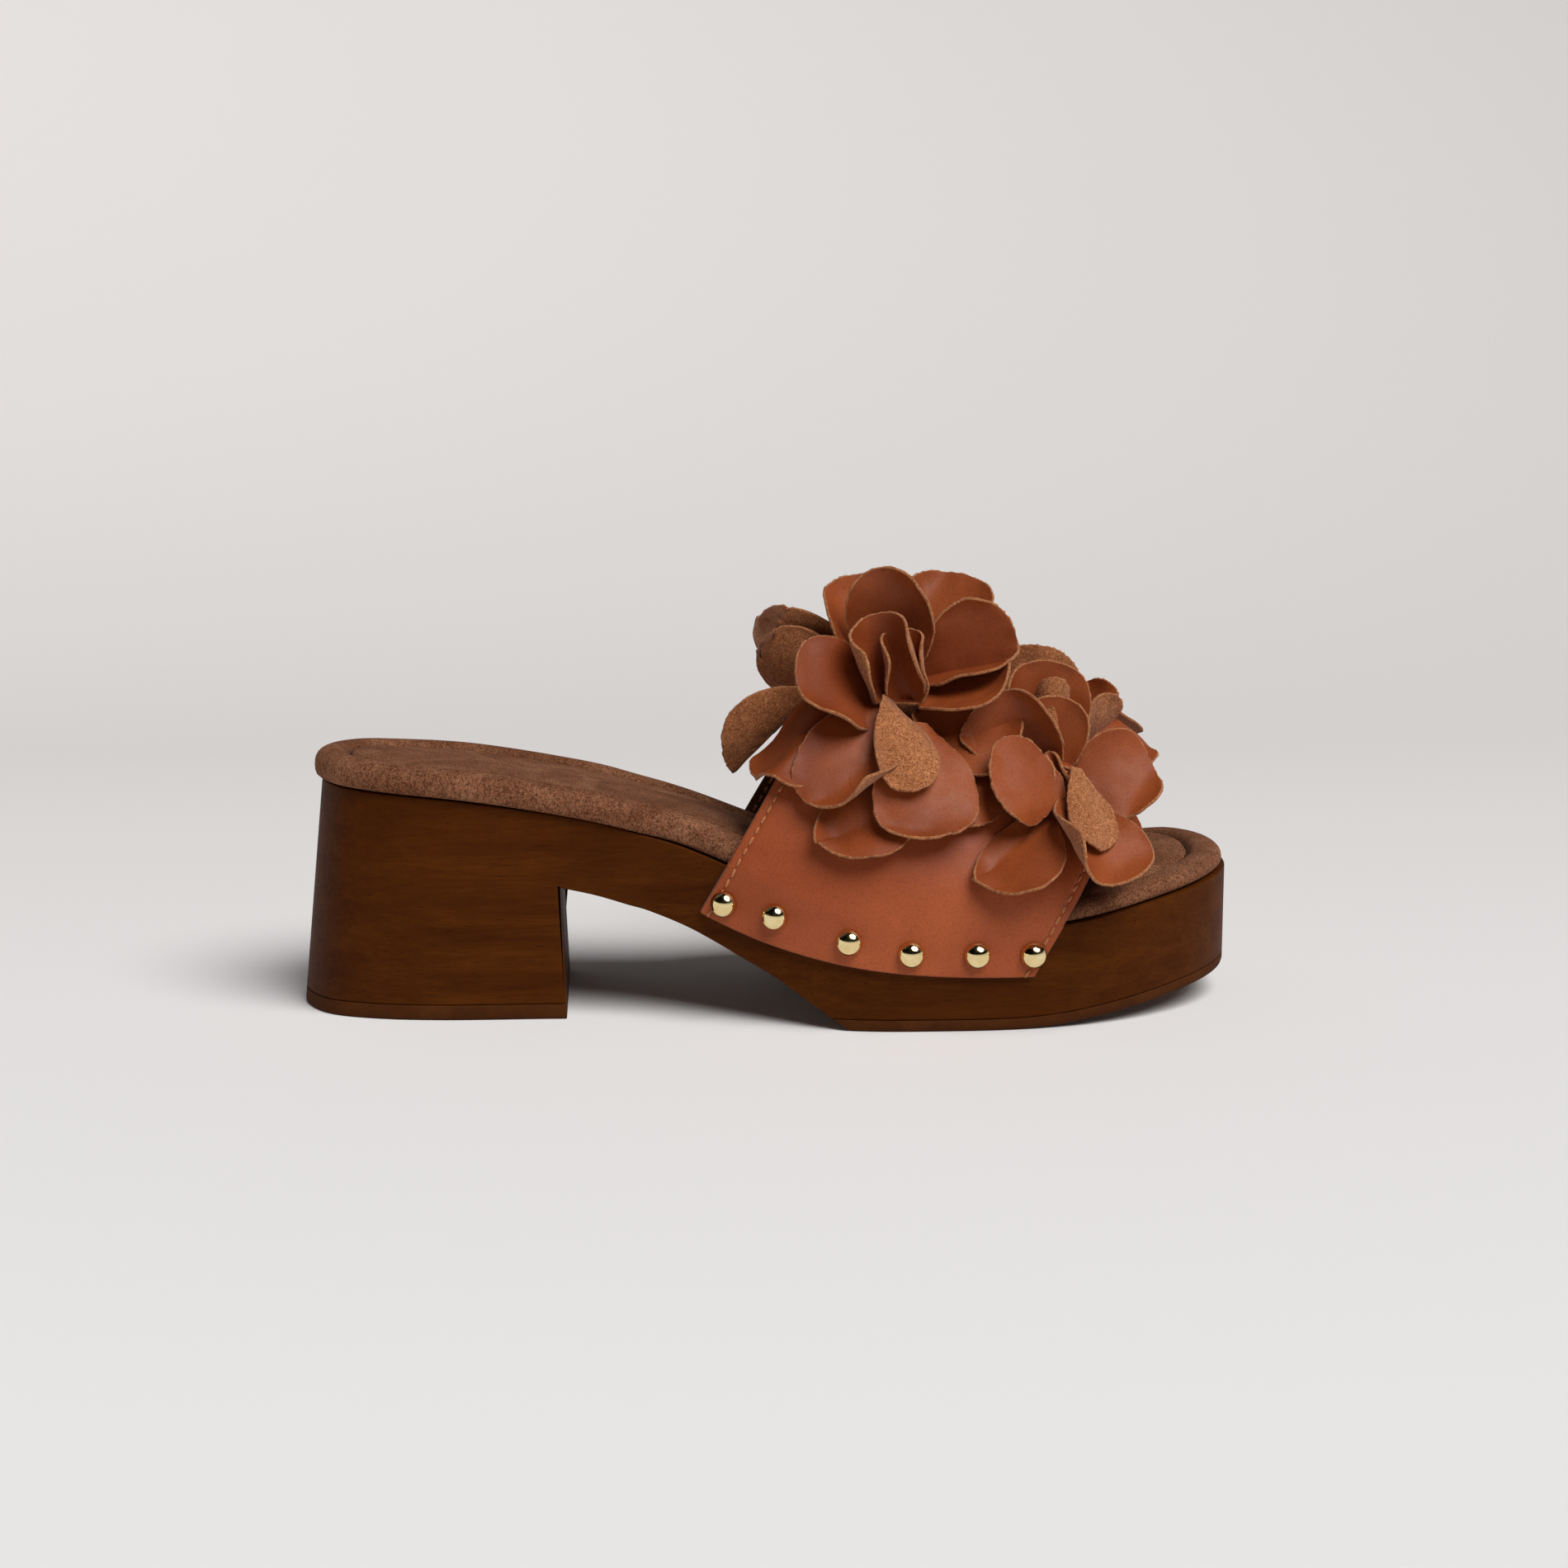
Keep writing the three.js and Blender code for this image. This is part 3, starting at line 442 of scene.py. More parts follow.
def clear_of_vamp(points, gap):
    """Points moved out where they lie under the vamp's outer face or less than gap over it. Past its
    front and rear edges they may hang lower."""
    x, y, z = np.moveaxis(points, -1, 0)
    plane = plane_of(x, y, z)
    past = np.maximum(0, np.maximum(PLANE_REAR - plane, plane - PLANE_FRONT))
    out = SEAM + VAMP_WALL + gap - OVER_EDGE_DROP * past
    outer, inner = side_point(plane, -1, top_at), side_point(plane, 1, top_at)
    centre = (outer[..., 1] + inner[..., 1]) / 2
    half = (inner[..., 1] - outer[..., 1]) / 2 + out
    share = np.clip((y - outer[..., 1] + out) / (2 * half), 0, 1)
    spring = outer[..., 2] + (inner[..., 2] - outer[..., 2]) * share
    height = crown_at(plane) - SEAM - VAMP_WALL + out - spring
    lift = np.maximum(0, (z - spring) / height)
    across = (y - INSTEP_SHIFT * np.minimum(1, lift) ** 2 - centre) / half
    measure = (np.abs(across) ** ARCH_FULLNESS + lift**ARCH_FULLNESS) ** (1 / ARCH_FULLNESS)
    least = 0.2
    scale = 1 / np.maximum(measure, least)
    new_lift = lift * scale
    new_y = centre + across * scale * half + INSTEP_SHIFT * np.minimum(1, new_lift) ** 2
    new_z = np.where(lift > 0, spring + new_lift * height, z)
    moved = np.stack([x + VAMP_LEAN * (new_z - z) + VAMP_TURN * (new_y - y), new_y, new_z], -1)
    return np.where((measure < 1)[..., None], moved, points)


def ripple(points, scale, seed):
    """Smooth noise at each point, from about -1 to 1; scale is the size of a feature in millimetres."""
    flat = np.asarray(points, float).reshape(-1, 3) / scale + seed
    values = np.array([noise.noise(Vector(p)) for p in flat])
    return values.reshape(np.shape(points)[:-1]) * 2


# Materials: each reads the object's own coordinates, in metres

def node(tree, kind, settings=None, **inputs):
    """Adds a node; an input is a value or another node's output, and _ stands for a space."""
    made = tree.nodes.new(kind)
    for key, value in (settings or {}).items():
        setattr(made, key, value)
    for key, value in inputs.items():
        socket = made.inputs[key.replace("_", " ")]
        if isinstance(value, bpy.types.NodeSocket):
            tree.links.new(value, socket)
        else:
            socket.default_value = value
    return made


def new_material(name):
    material = bpy.data.materials.new(name)
    material.use_nodes = True
    material.node_tree.nodes.clear()
    return material, material.node_tree


def coordinates(tree, stretch=(1, 1, 1)):
    place = node(tree, "ShaderNodeTexCoord").outputs["Object"]
    return node(tree, "ShaderNodeMapping", Vector=place, Scale=stretch).outputs["Vector"]


def speckle(tree, place, scale, detail=2.0, roughness=0.5, distortion=0.0):
    made = node(
        tree, "ShaderNodeTexNoise",
        Vector=place, Scale=scale, Detail=detail, Roughness=roughness, Distortion=distortion,
    )
    return made.outputs["Fac"]


def ramp(tree, factor, *stops):
    """A colour by a factor; each stop is a place and a colour."""
    made = node(tree, "ShaderNodeValToRGB", Fac=factor)
    elements = made.color_ramp.elements
    while len(elements) < len(stops):
        elements.new(0.5)
    for element, (place, colour) in zip(elements, stops):
        element.position = place
        element.color = colour
    return made.outputs["Color"]


def levels(tree, factor, low, high, start=0.0, end=1.0):
    """A number from start to end as factor goes from low to high."""
    made = node(
        tree, "ShaderNodeMapRange",
        Value=factor, From_Min=low, From_Max=high, To_Min=start, To_Max=end,
    )
    return made.outputs["Result"]


def tint(tree, colour, shade, factor, *span):
    """Mixes a shade into a colour by a factor, spread as levels() spreads it."""
    made = tree.nodes.new("ShaderNodeMix")
    made.data_type = "RGBA"
    factor_at, first_at, second_at, colour_out = 0, 6, 7, 2
    tree.links.new(levels(tree, factor, *span), made.inputs[factor_at])
    tree.links.new(colour, made.inputs[first_at])
    made.inputs[second_at].default_value = srgb(*shade)
    return made.outputs[colour_out]


def bumps(tree, *layers):
    """A normal from layers of height; each layer is a height, a strength and a depth in metres."""
    normal = None
    for height, strength, depth in layers:
        made = node(tree, "ShaderNodeBump", Height=height, Strength=strength, Distance=depth)
        if normal is not None:
            tree.links.new(normal, made.inputs["Normal"])
        normal = made.outputs["Normal"]
    return normal


def finish(tree, colour, roughness, normal, **settings):
    shader = node(
        tree, "ShaderNodeBsdfPrincipled",
        Base_Color=colour, Roughness=roughness, Normal=normal, **settings,
    )
    node(tree, "ShaderNodeOutputMaterial", Surface=shader.outputs["BSDF"])


def smooth_leather(name, light, dark):
    """Aniline-dyed calf: slow shades of dye, a fine pebble grain, pores and a satin gloss."""
    material, tree = new_material(name)
    place = coordinates(tree)
    dye = speckle(tree, place, 26, 3, 0.55, 0.3)
    patches = speckle(tree, place, 240, 4, 0.6)
    pores = speckle(tree, place, 2100, 2, 0.6)
    cells = node(tree, "ShaderNodeTexVoronoi", Vector=place, Scale=1700.0, Randomness=0.95)
    pebbles = cells.outputs["Distance"]
    colour = ramp(tree, dye, (0.3, srgb(*dark)), (0.66, srgb(*light)))
    colour = tint(tree, colour, dark, patches, 0.45, 0.75, 0, 0.15)
    colour = tint(tree, colour, [c * 0.7 for c in dark], pebbles, 0.4, 0.8, 0, 0.2)
    colour = tint(tree, colour, [c * 0.6 for c in dark], pores, 0.28, 0.42, 0.3, 0)
    roughness = levels(tree, patches, 0.3, 0.7, 0.45, 0.58)
    normal = bumps(tree, (patches, 0.12, 0.0004), (pebbles, -1.0, 0.00035), (pores, 0.5, 0.0001))
    finish(tree, colour, roughness, normal, Specular_IOR_Level=0.24)
    return material


def raw_suede(name, light, dark, nap=2300.0, fuzz=0.6):
    """The flesh side or a cut edge: short light fibres over darker pits."""
    material, tree = new_material(name)
    place = coordinates(tree)
    patches = speckle(tree, place, 120, 3, 0.6, 0.4)
    fibres = speckle(tree, place, nap, 3, 0.7, 0.5)
    tufts = speckle(tree, place, nap * 0.4, 2, 0.6, 0.5)
    colour = ramp(tree, fibres, (0.36, srgb(*dark)), (0.62, srgb(*light)))
    colour = tint(tree, colour, dark, tufts, 0.4, 0.6, 0.3, 0)
    colour = tint(tree, colour, dark, patches, 0.35, 0.65, 0.3, 0)
    normal = bumps(tree, (patches, 0.15, 0.0006), (tufts, 0.4, 0.0003), (fibres, fuzz, 0.0002))
    finish(tree, colour, 0.95, normal, Specular_IOR_Level=0.1, Sheen_Weight=0.12, Sheen_Roughness=0.6)
    return material


def footbed_suede():
    """Brushed suede: swirls of lighter and darker nap with a short fuzz."""
    material, tree = new_material("brushed_suede")
    place = coordinates(tree)
    swirls = speckle(tree, place, 46, 5, 0.62, 1.4)
    streaks = speckle(tree, coordinates(tree, (1, 1, 0.3)), 330, 3, 0.65, 0.4)
    nap = speckle(tree, coordinates(tree, (1, 1, 0.6)), 1700, 3, 0.75, 0.4)
    fuzz = speckle(tree, place, 2800, 2, 0.6)
    colour = ramp(
        tree, swirls, (0.34, srgb(108, 66, 45)), (0.52, srgb(133, 87, 63)), (0.7, srgb(156, 108, 80)),
    )
    colour = tint(tree, colour, (72, 42, 26), streaks, 0.4, 0.6, 0.22, 0)
    colour = tint(tree, colour, (56, 30, 18), nap, 0.4, 0.56, 0.75, 0)
    colour = tint(tree, colour, (190, 142, 112), fuzz, 0.55, 0.66, 0, 0.4)
    normal = bumps(
        tree, (swirls, 0.1, 0.001), (streaks, 0.25, 0.0005), (nap, 0.7, 0.0004), (fuzz, 0.4, 0.00015),
    )
    finish(
        tree, colour, 0.96, normal,
        Specular_IOR_Level=0.06, Sheen_Weight=0.08, Sheen_Roughness=0.5, Sheen_Tint=srgb(200, 150, 120),
    )
    return material


def stained_wood():
    """Hardwood under a dark reddish-brown stain and satin lacquer, its grain along the sole."""
    material, tree = new_material("stained_wood")
    bands = speckle(tree, coordinates(tree, (0.3, 2.2, 3.4)), 60, 5, 0.62, 0.5)
    grain = speckle(tree, coordinates(tree, (0.12, 1.6, 2.6)), 560, 4, 0.65, 0.25)
    pores = speckle(tree, coordinates(tree, (0.16, 1.6, 2.4)), 1400, 2, 0.5)
    stain = speckle(tree, coordinates(tree), 24, 3, 0.55, 0.3)
    blotches = speckle(tree, coordinates(tree), 130, 4, 0.6, 0.6)
    colour = ramp(tree, bands, (0.3, srgb(64, 32, 8)), (0.52, srgb(81, 43, 11)), (0.75, srgb(92, 51, 14)))
    colour = tint(tree, colour, (56, 27, 5), grain, 0.38, 0.56, 0.32, 0)
    colour = tint(tree, colour, (30, 14, 3), pores, 0.32, 0.4, 0.45, 0)
    colour = tint(tree, colour, (66, 31, 6), blotches, 0.35, 0.6, 0.3, 0)
    colour = tint(tree, colour, (66, 32, 6), stain, 0.35, 0.7, 0.35, 0)
    roughness = levels(tree, grain, 0.3, 0.7, 0.62, 0.5)
    normal = bumps(tree, (grain, 0.12, 0.0002), (pores, 0.16, 0.00012))
    finish(tree, colour, roughness, normal, Specular_IOR_Level=0.05)
    return material


def sole_rubber():
    """Brown rubber, matt and a little dusty."""
    material, tree = new_material("brown_rubber")
    place = coordinates(tree)
    dust = speckle(tree, place, 120, 4, 0.6)
    grit = speckle(tree, place, 1300, 3, 0.6)
    colour = ramp(tree, dust, (0.3, srgb(64, 34, 13)), (0.75, srgb(80, 46, 22)))
    normal = bumps(tree, (grit, 0.35, 0.00015))
    finish(tree, colour, levels(tree, dust, 0.3, 0.7, 0.7, 0.85), normal, Specular_IOR_Level=0.08)
    return material


def polished_brass():
    """Brass nail heads: bright, with hairline scratches."""
    material, tree = new_material("polished_brass")
    scratches = speckle(tree, coordinates(tree, (1, 1, 0.15)), 3200, 3, 0.7)
    tarnish = speckle(tree, coordinates(tree), 420, 3, 0.6)
    colour = ramp(tree, tarnish, (0.3, srgb(232, 206, 146)), (0.7, srgb(246, 226, 174)))
    roughness = levels(tree, tarnish, 0.35, 0.7, 0.08, 0.18)
    normal = bumps(tree, (scratches, 0.06, 0.00005))
    finish(tree, colour, roughness, normal, Metallic=1.0)
    return material


def waxed_thread(name, colour):
    material, tree = new_material(name)
    twist = node(
        tree, "ShaderNodeTexWave", {"bands_direction": "DIAGONAL"},
        Vector=coordinates(tree), Scale=900.0, Distortion=0.5,
    ).outputs["Fac"]
    # Painted shade: the colour darkens in the grooves between the plies of the twist.
    shade = ramp(tree, twist, (0.2, srgb(*(c * 0.68 for c in colour))), (0.8, srgb(*colour)))
    finish(tree, shade, 0.6, bumps(tree, (twist, 0.4, 0.0001)), Specular_IOR_Level=0.3)
    return material


leather = smooth_leather("vamp_leather", (168, 85, 49), (140, 66, 35))
# The petals' leather is the vamp's leather made darker: painted shade for petals that stand in the
# flowers' shadow.
petal_leather = smooth_leather("petal_leather", (156, 79, 41), (122, 56, 26))
flesh = raw_suede("flesh_side", (202, 134, 88), (112, 60, 30))
raw_edge = raw_suede("raw_cut_edge", (200, 138, 92), (126, 70, 38), 2000.0, 0.8)
lining = raw_suede("lining", (106, 66, 42), (64, 36, 22), 1100.0, 0.6)
vamp_edge = raw_suede("vamp_cut_edge", (140, 74, 42), (92, 44, 22), 1500.0, 0.5)
suede = footbed_suede()
wood = stained_wood()
rubber = sole_rubber()
brass = polished_brass()
tan_thread = waxed_thread("tan_thread", (202, 128, 80))
brown_thread = waxed_thread("brown_thread", (66, 40, 26))


# Geometry Nodes that set copies of a small mesh along rows

def copies_tree(name, resample, turn_range=0.0, size_range=0.0):
    """Node tree: copies of an object stand on a line's points, their Z along the attribute facing and
    their X along the line. With resample, they stand a pitch apart."""
    tree = bpy.data.node_groups.new(name, "GeometryNodeTree")
    face = tree.interface
    face.new_socket(name="Geometry", in_out="INPUT", socket_type="NodeSocketGeometry")
    face.new_socket(name="Pitch", in_out="INPUT", socket_type="NodeSocketFloat")
    face.new_socket(name="Copy", in_out="INPUT", socket_type="NodeSocketObject")
    face.new_socket(name="Material", in_out="INPUT", socket_type="NodeSocketMaterial")
    face.new_socket(name="Geometry", in_out="OUTPUT", socket_type="NodeSocketGeometry")
    given = node(tree, "NodeGroupInput").outputs
    points = given["Geometry"]
    facing = node(tree, "GeometryNodeInputNamedAttribute", {"data_type": "FLOAT_VECTOR"}, Name="facing")
    axes = node(
        tree, "FunctionNodeAxesToRotation", {"primary_axis": "Z", "secondary_axis": "X"},
        Primary_Axis=facing.outputs["Attribute"],
    )
    if resample:
        line = node(tree, "GeometryNodeMeshToCurve", Mesh=points).outputs["Curve"]
        line = node(tree, "GeometryNodeResampleCurve", {"mode": "LENGTH"}, Curve=line)
        pitch = next(socket for socket in line.inputs if socket.identifier == "Length")
        tree.links.new(given["Pitch"], pitch)
        points = line.outputs["Curve"]
        tangent = node(tree, "GeometryNodeInputTangent").outputs["Tangent"]
        tree.links.new(tangent, axes.inputs["Secondary Axis"])
    else:
        axes.inputs["Secondary Axis"].default_value = (1, 0, 0)
    rotation = axes.outputs["Rotation"]
    scale = (1.0, 1.0, 1.0)
    if turn_range:
        turns = node(
            tree, "FunctionNodeRandomValue", {"data_type": "FLOAT_VECTOR"},
            Min=(-turn_range,) * 3, Max=(turn_range,) * 3, Seed=7,
        )
        spin = node(tree, "FunctionNodeEulerToRotation", Euler=turns.outputs["Value"]).outputs["Rotation"]
        rotation = node(
            tree, "FunctionNodeRotateRotation", {"rotation_space": "LOCAL"},
            Rotation=rotation, Rotate_By=spin,
        ).outputs["Rotation"]
    if size_range:
        sizes = node(
            tree, "FunctionNodeRandomValue", {"data_type": "FLOAT_VECTOR"},
            Min=(1 - size_range,) * 3, Max=(1 + size_range,) * 3, Seed=11,
        )
        scale = sizes.outputs["Value"]
    shape = node(tree, "GeometryNodeObjectInfo", Object=given["Copy"]).outputs["Geometry"]
    copies = node(
        tree, "GeometryNodeInstanceOnPoints",
        Points=points, Instance=shape, Rotation=rotation, Scale=scale,
    )
    real = node(tree, "GeometryNodeRealizeInstances", Geometry=copies.outputs["Instances"])
    coloured = node(
        tree, "GeometryNodeSetMaterial", Geometry=real.outputs["Geometry"], Material=given["Material"],
    )
    node(tree, "NodeGroupOutput", Geometry=coloured.outputs["Geometry"])
    return tree


def run_copies(name, lines, tree, copy, material, pitch=0.0):
    """Sets copies along lines, each a pair of points and facing vectors, and keeps the plain mesh."""
    points, facings, edges = [], [], []
    for line, facing in lines:
        start = sum(map(len, points))
        edges += [(start + i, start + i + 1) for i in range(len(line) - 1)]
        points.append(line)
        facings.append(facing)
    mesh = bpy.data.meshes.new(name)
    mesh.from_pydata(metres(np.vstack(points)).tolist(), edges, [])
    attribute = mesh.attributes.new("facing", "FLOAT_VECTOR", "POINT")
    attribute.data.foreach_set("vector", np.vstack(facings).astype(np.float32).ravel())
    made = bpy.data.objects.new(name, mesh)
    bpy.context.scene.collection.objects.link(made)
    modifier = made.modifiers.new("copies", "NODES")
    modifier.node_group = tree
    wanted = {"Pitch": pitch / 1000, "Copy": copy, "Material": material}
    for item in tree.interface.items_tree:
        if item.in_out == "INPUT" and item.name in wanted:
            modifier[item.identifier] = wanted[item.name]
    bake(made)
    made.data.polygons.foreach_set("use_smooth", np.full(len(made.data.polygons), True))
    return made


stitch_tree = copies_tree("stitches", resample=True, turn_range=0.09, size_range=0.12)
nail_tree = copies_tree("nails", resample=False)
fibre_tree = copies_tree("fibres", resample=True, turn_range=0.9, size_range=0.6)


def lathe_piece(name, profile, segments):
    """A turned solid about Z through (radius, height) points; the first and last lie on the axis."""
    inner = profile[1:-1]
    angles = np.arange(segments) / segments * 2 * np.pi
    circle = np.column_stack([np.cos(angles), np.sin(angles), np.ones(segments)])
    rings = [circle * (radius, radius, height) for radius, height in inner]
    points = np.vstack([[(0, 0, profile[0][1])], *rings, [(0, 0, profile[-1][1])]])
    last = len(points) - 1
    faces = []
    for i in range(segments):
        j = (i + 1) % segments
        faces.append((0, 1 + j, 1 + i))
        for r in range(len(inner) - 1):
            a = 1 + r * segments
            faces.append((a + i, a + j, a + segments + j, a + segments + i))
        top = 1 + (len(inner) - 1) * segments
        faces.append((top + i, top + j, last))
    return mesh_piece(name, points + (ORIGIN_STATION, 0, 0), faces, [])


# Sole and treads

def build_sole():
    """The carved wood and the rubber under its heel and forefoot, a glue line apart."""
    middle = (HEEL_LENGTH + TREAD_START) / 2
    beyond = 10
    treads = (
        ("heel_rubber", "heel_top_piece", -beyond, middle, HEEL_LIFT, 1),
        ("forefoot_rubber", "forefoot_tread", middle, SOLE_LENGTH + beyond, TREAD_THICKNESS, 90),
    )
    body = sole_block("carved_sole", [wood])
    for name, _, start, end, thickness, steps in treads:
        cut(body, tread_zone(name + "_gap", start, end, thickness + GLUE_LINE, steps))
    show(soften(body, WOOD_EDGE_ROUND), "wood", "clog_sole")
    for name, cad, *zone in treads:
        tread = cut(sole_block(name, [rubber]), tread_zone(name + "_zone", *zone), "INTERSECT")
        show(soften(tread, RUBBER_EDGE_ROUND, 50), "sole_rubber", cad)


# Footbed

def footbed_margin(x):
    """How far the footbed's edge lies inside the sole's; it overhangs the heel."""
    fade_end = HEM_REAR - VAMP_APPROACH
    ease = smoothstep(x, fade_end - OVERHANG_FADE, fade_end)
    return -HEEL_OVERHANG * (1 - ease) + TOE_MARGIN * ease


def footbed_thickness(x):
    share = smoothstep(x, HEM_REAR, HEM_FRONT)
    return FOOTBED_THICKNESS + (FOOTBED_TOE_THICKNESS - FOOTBED_THICKNESS) * share


# Section of the footbed's edge: inward as a share of the border's width, up of the thickness, and
# sunk of the groove's depth
FOOTBED_SECTION = [
    (0.22, 0, 0), (0.1, 0.01, 0), (0.04, 0.08, 0), (0.01, 0.22, 0), (0, 0.4, 0), (0.01, 0.58, 0),
    (0.04, 0.74, 0), (0.1, 0.88, 0), (0.18, 0.98, 0), (0.26, 1.04, 0), (0.36, 1.09, 0),
    (0.5, 1.12, 0), (0.64, 1.09, 0), (0.76, 1.03, 0), (0.86, 0.95, 0.1), (0.93, 0.92, 0.5),
    (0.98, 0.9, 0.95), (1.02, 0.9, 1.0), (1.07, 0.9, 0.55), (1.14, 0.9, 0.15),
    (1.24, 0.92, 0), (1.4, 0.94, 0), (1.7, 0.95, 0),
]
PANEL_COLUMNS = 14
PANEL_CROWN = 0.5
FULL_CROWN_WIDTH = 40


def footbed_ring(inward, up, sunk):
    """A ring of the footbed at one row of its section."""
    x = ring_points[:, 0]
    inset = footbed_margin(x) + inward * BORDER_WIDTH
    height = top_at(x) + SEAM + up * footbed_thickness(x) - sunk * GROOVE_DEPTH
    return ring_at(inset, height, lambda x, z: rake_at(x, HEEL_HEIGHT))


def build_footbed():
    """The pad: rings for its underside, rounded edge, border and groove, and a crowned panel inside."""
    size = RING_COUNT
    rings = [footbed_ring(*row) for row in FOOTBED_SECTION]
    faces = strips_across(0, size, False) + loft_faces(len(rings), size)
    last = (len(rings) - 1) * size
    rim = rings[-1]
    across = np.linspace(0, 1, PANEL_COLUMNS + 1)[1:-1, None]
    points, rows = [np.vstack(rings)], []
    for i in range(1, size // 2 - 1):
        a, b = rim[i], rim[size - 1 - i]
        inner = a + (b - a) * across
        width = np.linalg.norm(b - a)
        crown = PANEL_CROWN * min(1, width / FULL_CROWN_WIDTH)
        inner[:, 2] += crown * 4 * across[:, 0] * (1 - across[:, 0])
        start = len(rings) * size + len(rows) * len(across)
        rows.append([last + i, *range(start, start + len(across)), last + size - 1 - i])
        points.append(inner)
    faces.append((last, *rows[0], last + size - 1))
    for a, b in zip(rows, rows[1:]):
        faces += [(a[j], b[j], b[j + 1], a[j + 1]) for j in range(PANEL_COLUMNS)]
    end = size // 2 - 1
    faces.append((*rows[-1][::-1], last + end, last + end + 1))
    bed = mesh_piece("suede_footbed", np.vstack(points), faces, [suede])
    show(bed, "footbed_suede", "padded_footbed")


# Vamp

# Rows of points near the vamp's front and rear edges: distance from the edge in millimetres
EDGE_STEPS = (0, 0.25, 0.6, 1.0, 1.3, 1.6, 1.9, 2.2, 2.5, 2.8, 3.2, 4.0, 5.0, 6.4, 8.4)
MIDDLE_ROWS = 40
VAMP_COLUMNS = 190
VAMP_EDGE_ROUND = 0.45
STITCH_GROOVE = 0.28
STITCH_GROOVE_WIDTH = 0.45
STITCH_RISE = 0.1
STITCH_SINK = 0.05
HEM_TO_STITCHES = 0.012
UNEVENNESS = 0.3
UNEVENNESS_SIZE = 26
SLOPE = math.hypot(1, VAMP_LEAN)

# Nails, from rear to front: place along the hem, height over it as a share of the nails' own
NAIL_ROW = [(0.058, 0.78), (0.213, 1.13), (0.447, 1.0), (0.627, 0.86), (0.805, 0.98), (0.957, 0.96)]
NAIL_DENT = 0.35
NAIL_DENT_REACH = 1.25

# Soft creases and swells of the worn vamp: place along it and around it, length and width as shares
# of it, turn in degrees, and depth in millimetres, troughs negative
VAMP_CREASES = [
    (0.1, 0.4, 0.22, 0.05, 60, -0.5),
    (0.3, 0.3, 0.2, 0.06, 30, -0.35),
    (0.55, 0.34, 0.3, 0.07, 15, 0.35),
    (0.62, 0.28, 0.28, 0.05, 12, -0.4),
    (0.9, 0.32, 0.16, 0.05, 70, -0.35),
    (0.5, 0.66, 0.26, 0.06, -20, -0.4),
    (0.2, 0.7, 0.2, 0.05, -50, -0.35),
]


def vamp_relief(plane, around, points):
    """Height of the leather's outer face over its plain form: stitch grooves, dents round the nails,
    creases and slow unevenness."""
    from_edge = np.minimum(plane - PLANE_REAR, PLANE_FRONT - plane) / SLOPE
    relief = -STITCH_GROOVE * np.exp(-(((from_edge - EDGE_STITCH_INSET) / STITCH_GROOVE_WIDTH) ** 2))
    share = (plane - PLANE_REAR) / (PLANE_FRONT - PLANE_REAR)
    for along, at, length, width, turn, depth in VAMP_CREASES:
        cos, sin = math.cos(math.radians(turn)), math.sin(math.radians(turn))
        u, v = share - along, around - at
        far = ((u * cos + v * sin) / length) ** 2 + ((v * cos - u * sin) / width) ** 2
        relief = relief + depth * np.exp(-far)
    for seat, _ in nail_seats():
        far = np.linalg.norm(points - seat, axis=-1)
        relief = relief - NAIL_DENT * np.exp(-((far / (NAIL_DENT_REACH * NAIL_RADIUS)) ** 4))
    inside = smoothstep(from_edge, 0, 8)
    return relief + inside * UNEVENNESS * ripple(points, UNEVENNESS_SIZE, 3)


def nail_seats():
    """Points where the nails cross the sole's side, with the directions that they face."""
    seats = []
    for side in (-1, 1):
        for along, up in NAIL_ROW:
            plane = PLANE_REAR + along * (PLANE_FRONT - PLANE_REAR)
            at = side_point(plane, side, hem_at(plane) + up * NAIL_ABOVE_HEM)
            slope = (half_width_at(at[0] + 1, side) - half_width_at(at[0] - 1, side)) / 2
            facing = np.array([-slope, side, 0])
            seats.append((at, facing / np.linalg.norm(facing)))
    return seats


def vamp_sides():
    """The vamp's outer and inner faces, as grids of points from rear to front and hem to hem, with the
    plane of each row and the direction from the inner face to the outer one."""
    near = np.array(EDGE_STEPS) * SLOPE
    middle = np.linspace(PLANE_REAR + near[-1], PLANE_FRONT - near[-1], MIDDLE_ROWS + 2)[1:-1]
    planes = np.concatenate([PLANE_REAR + near, middle, PLANE_FRONT - near[::-1]])[:, None]
    around = np.linspace(0, 1, VAMP_COLUMNS + 1)[None, :]
    inner = vamp_points(planes, around, SEAM)
    outer = vamp_points(planes, around, SEAM + VAMP_WALL)
    relief = vamp_relief(planes, around, outer)
    outward = (outer - inner) / np.linalg.norm(outer - inner, axis=-1)[..., None]
    return outer + outward * relief[..., None], inner, planes[:, 0], outward


def wall_faces(rows, columns):
    """Faces of a closed wall from two equal grids, the outer one first, and their material: 0 on the
    outer face, 1 on the inner one, 2 on the edge."""
    back = rows * columns
    quads = [
        (i * columns + j, (i + 1) * columns + j, (i + 1) * columns + j + 1, i * columns + j + 1)
        for i in range(rows - 1) for j in range(columns - 1)
    ]
    faces = quads + [tuple(back + k for k in quad[::-1]) for quad in quads]
    rim = [i * columns for i in range(rows - 1)]
    rim += [(rows - 1) * columns + j for j in range(columns - 1)]
    rim += [i * columns + columns - 1 for i in range(rows - 1, 0, -1)]
    rim += list(range(columns - 1, 0, -1))
    faces += [(a, back + a, back + b, b) for a, b in zip(rim, rim[1:] + rim[:1])]
    return faces, [0] * len(quads) + [1] * len(quads) + [2] * len(rim)


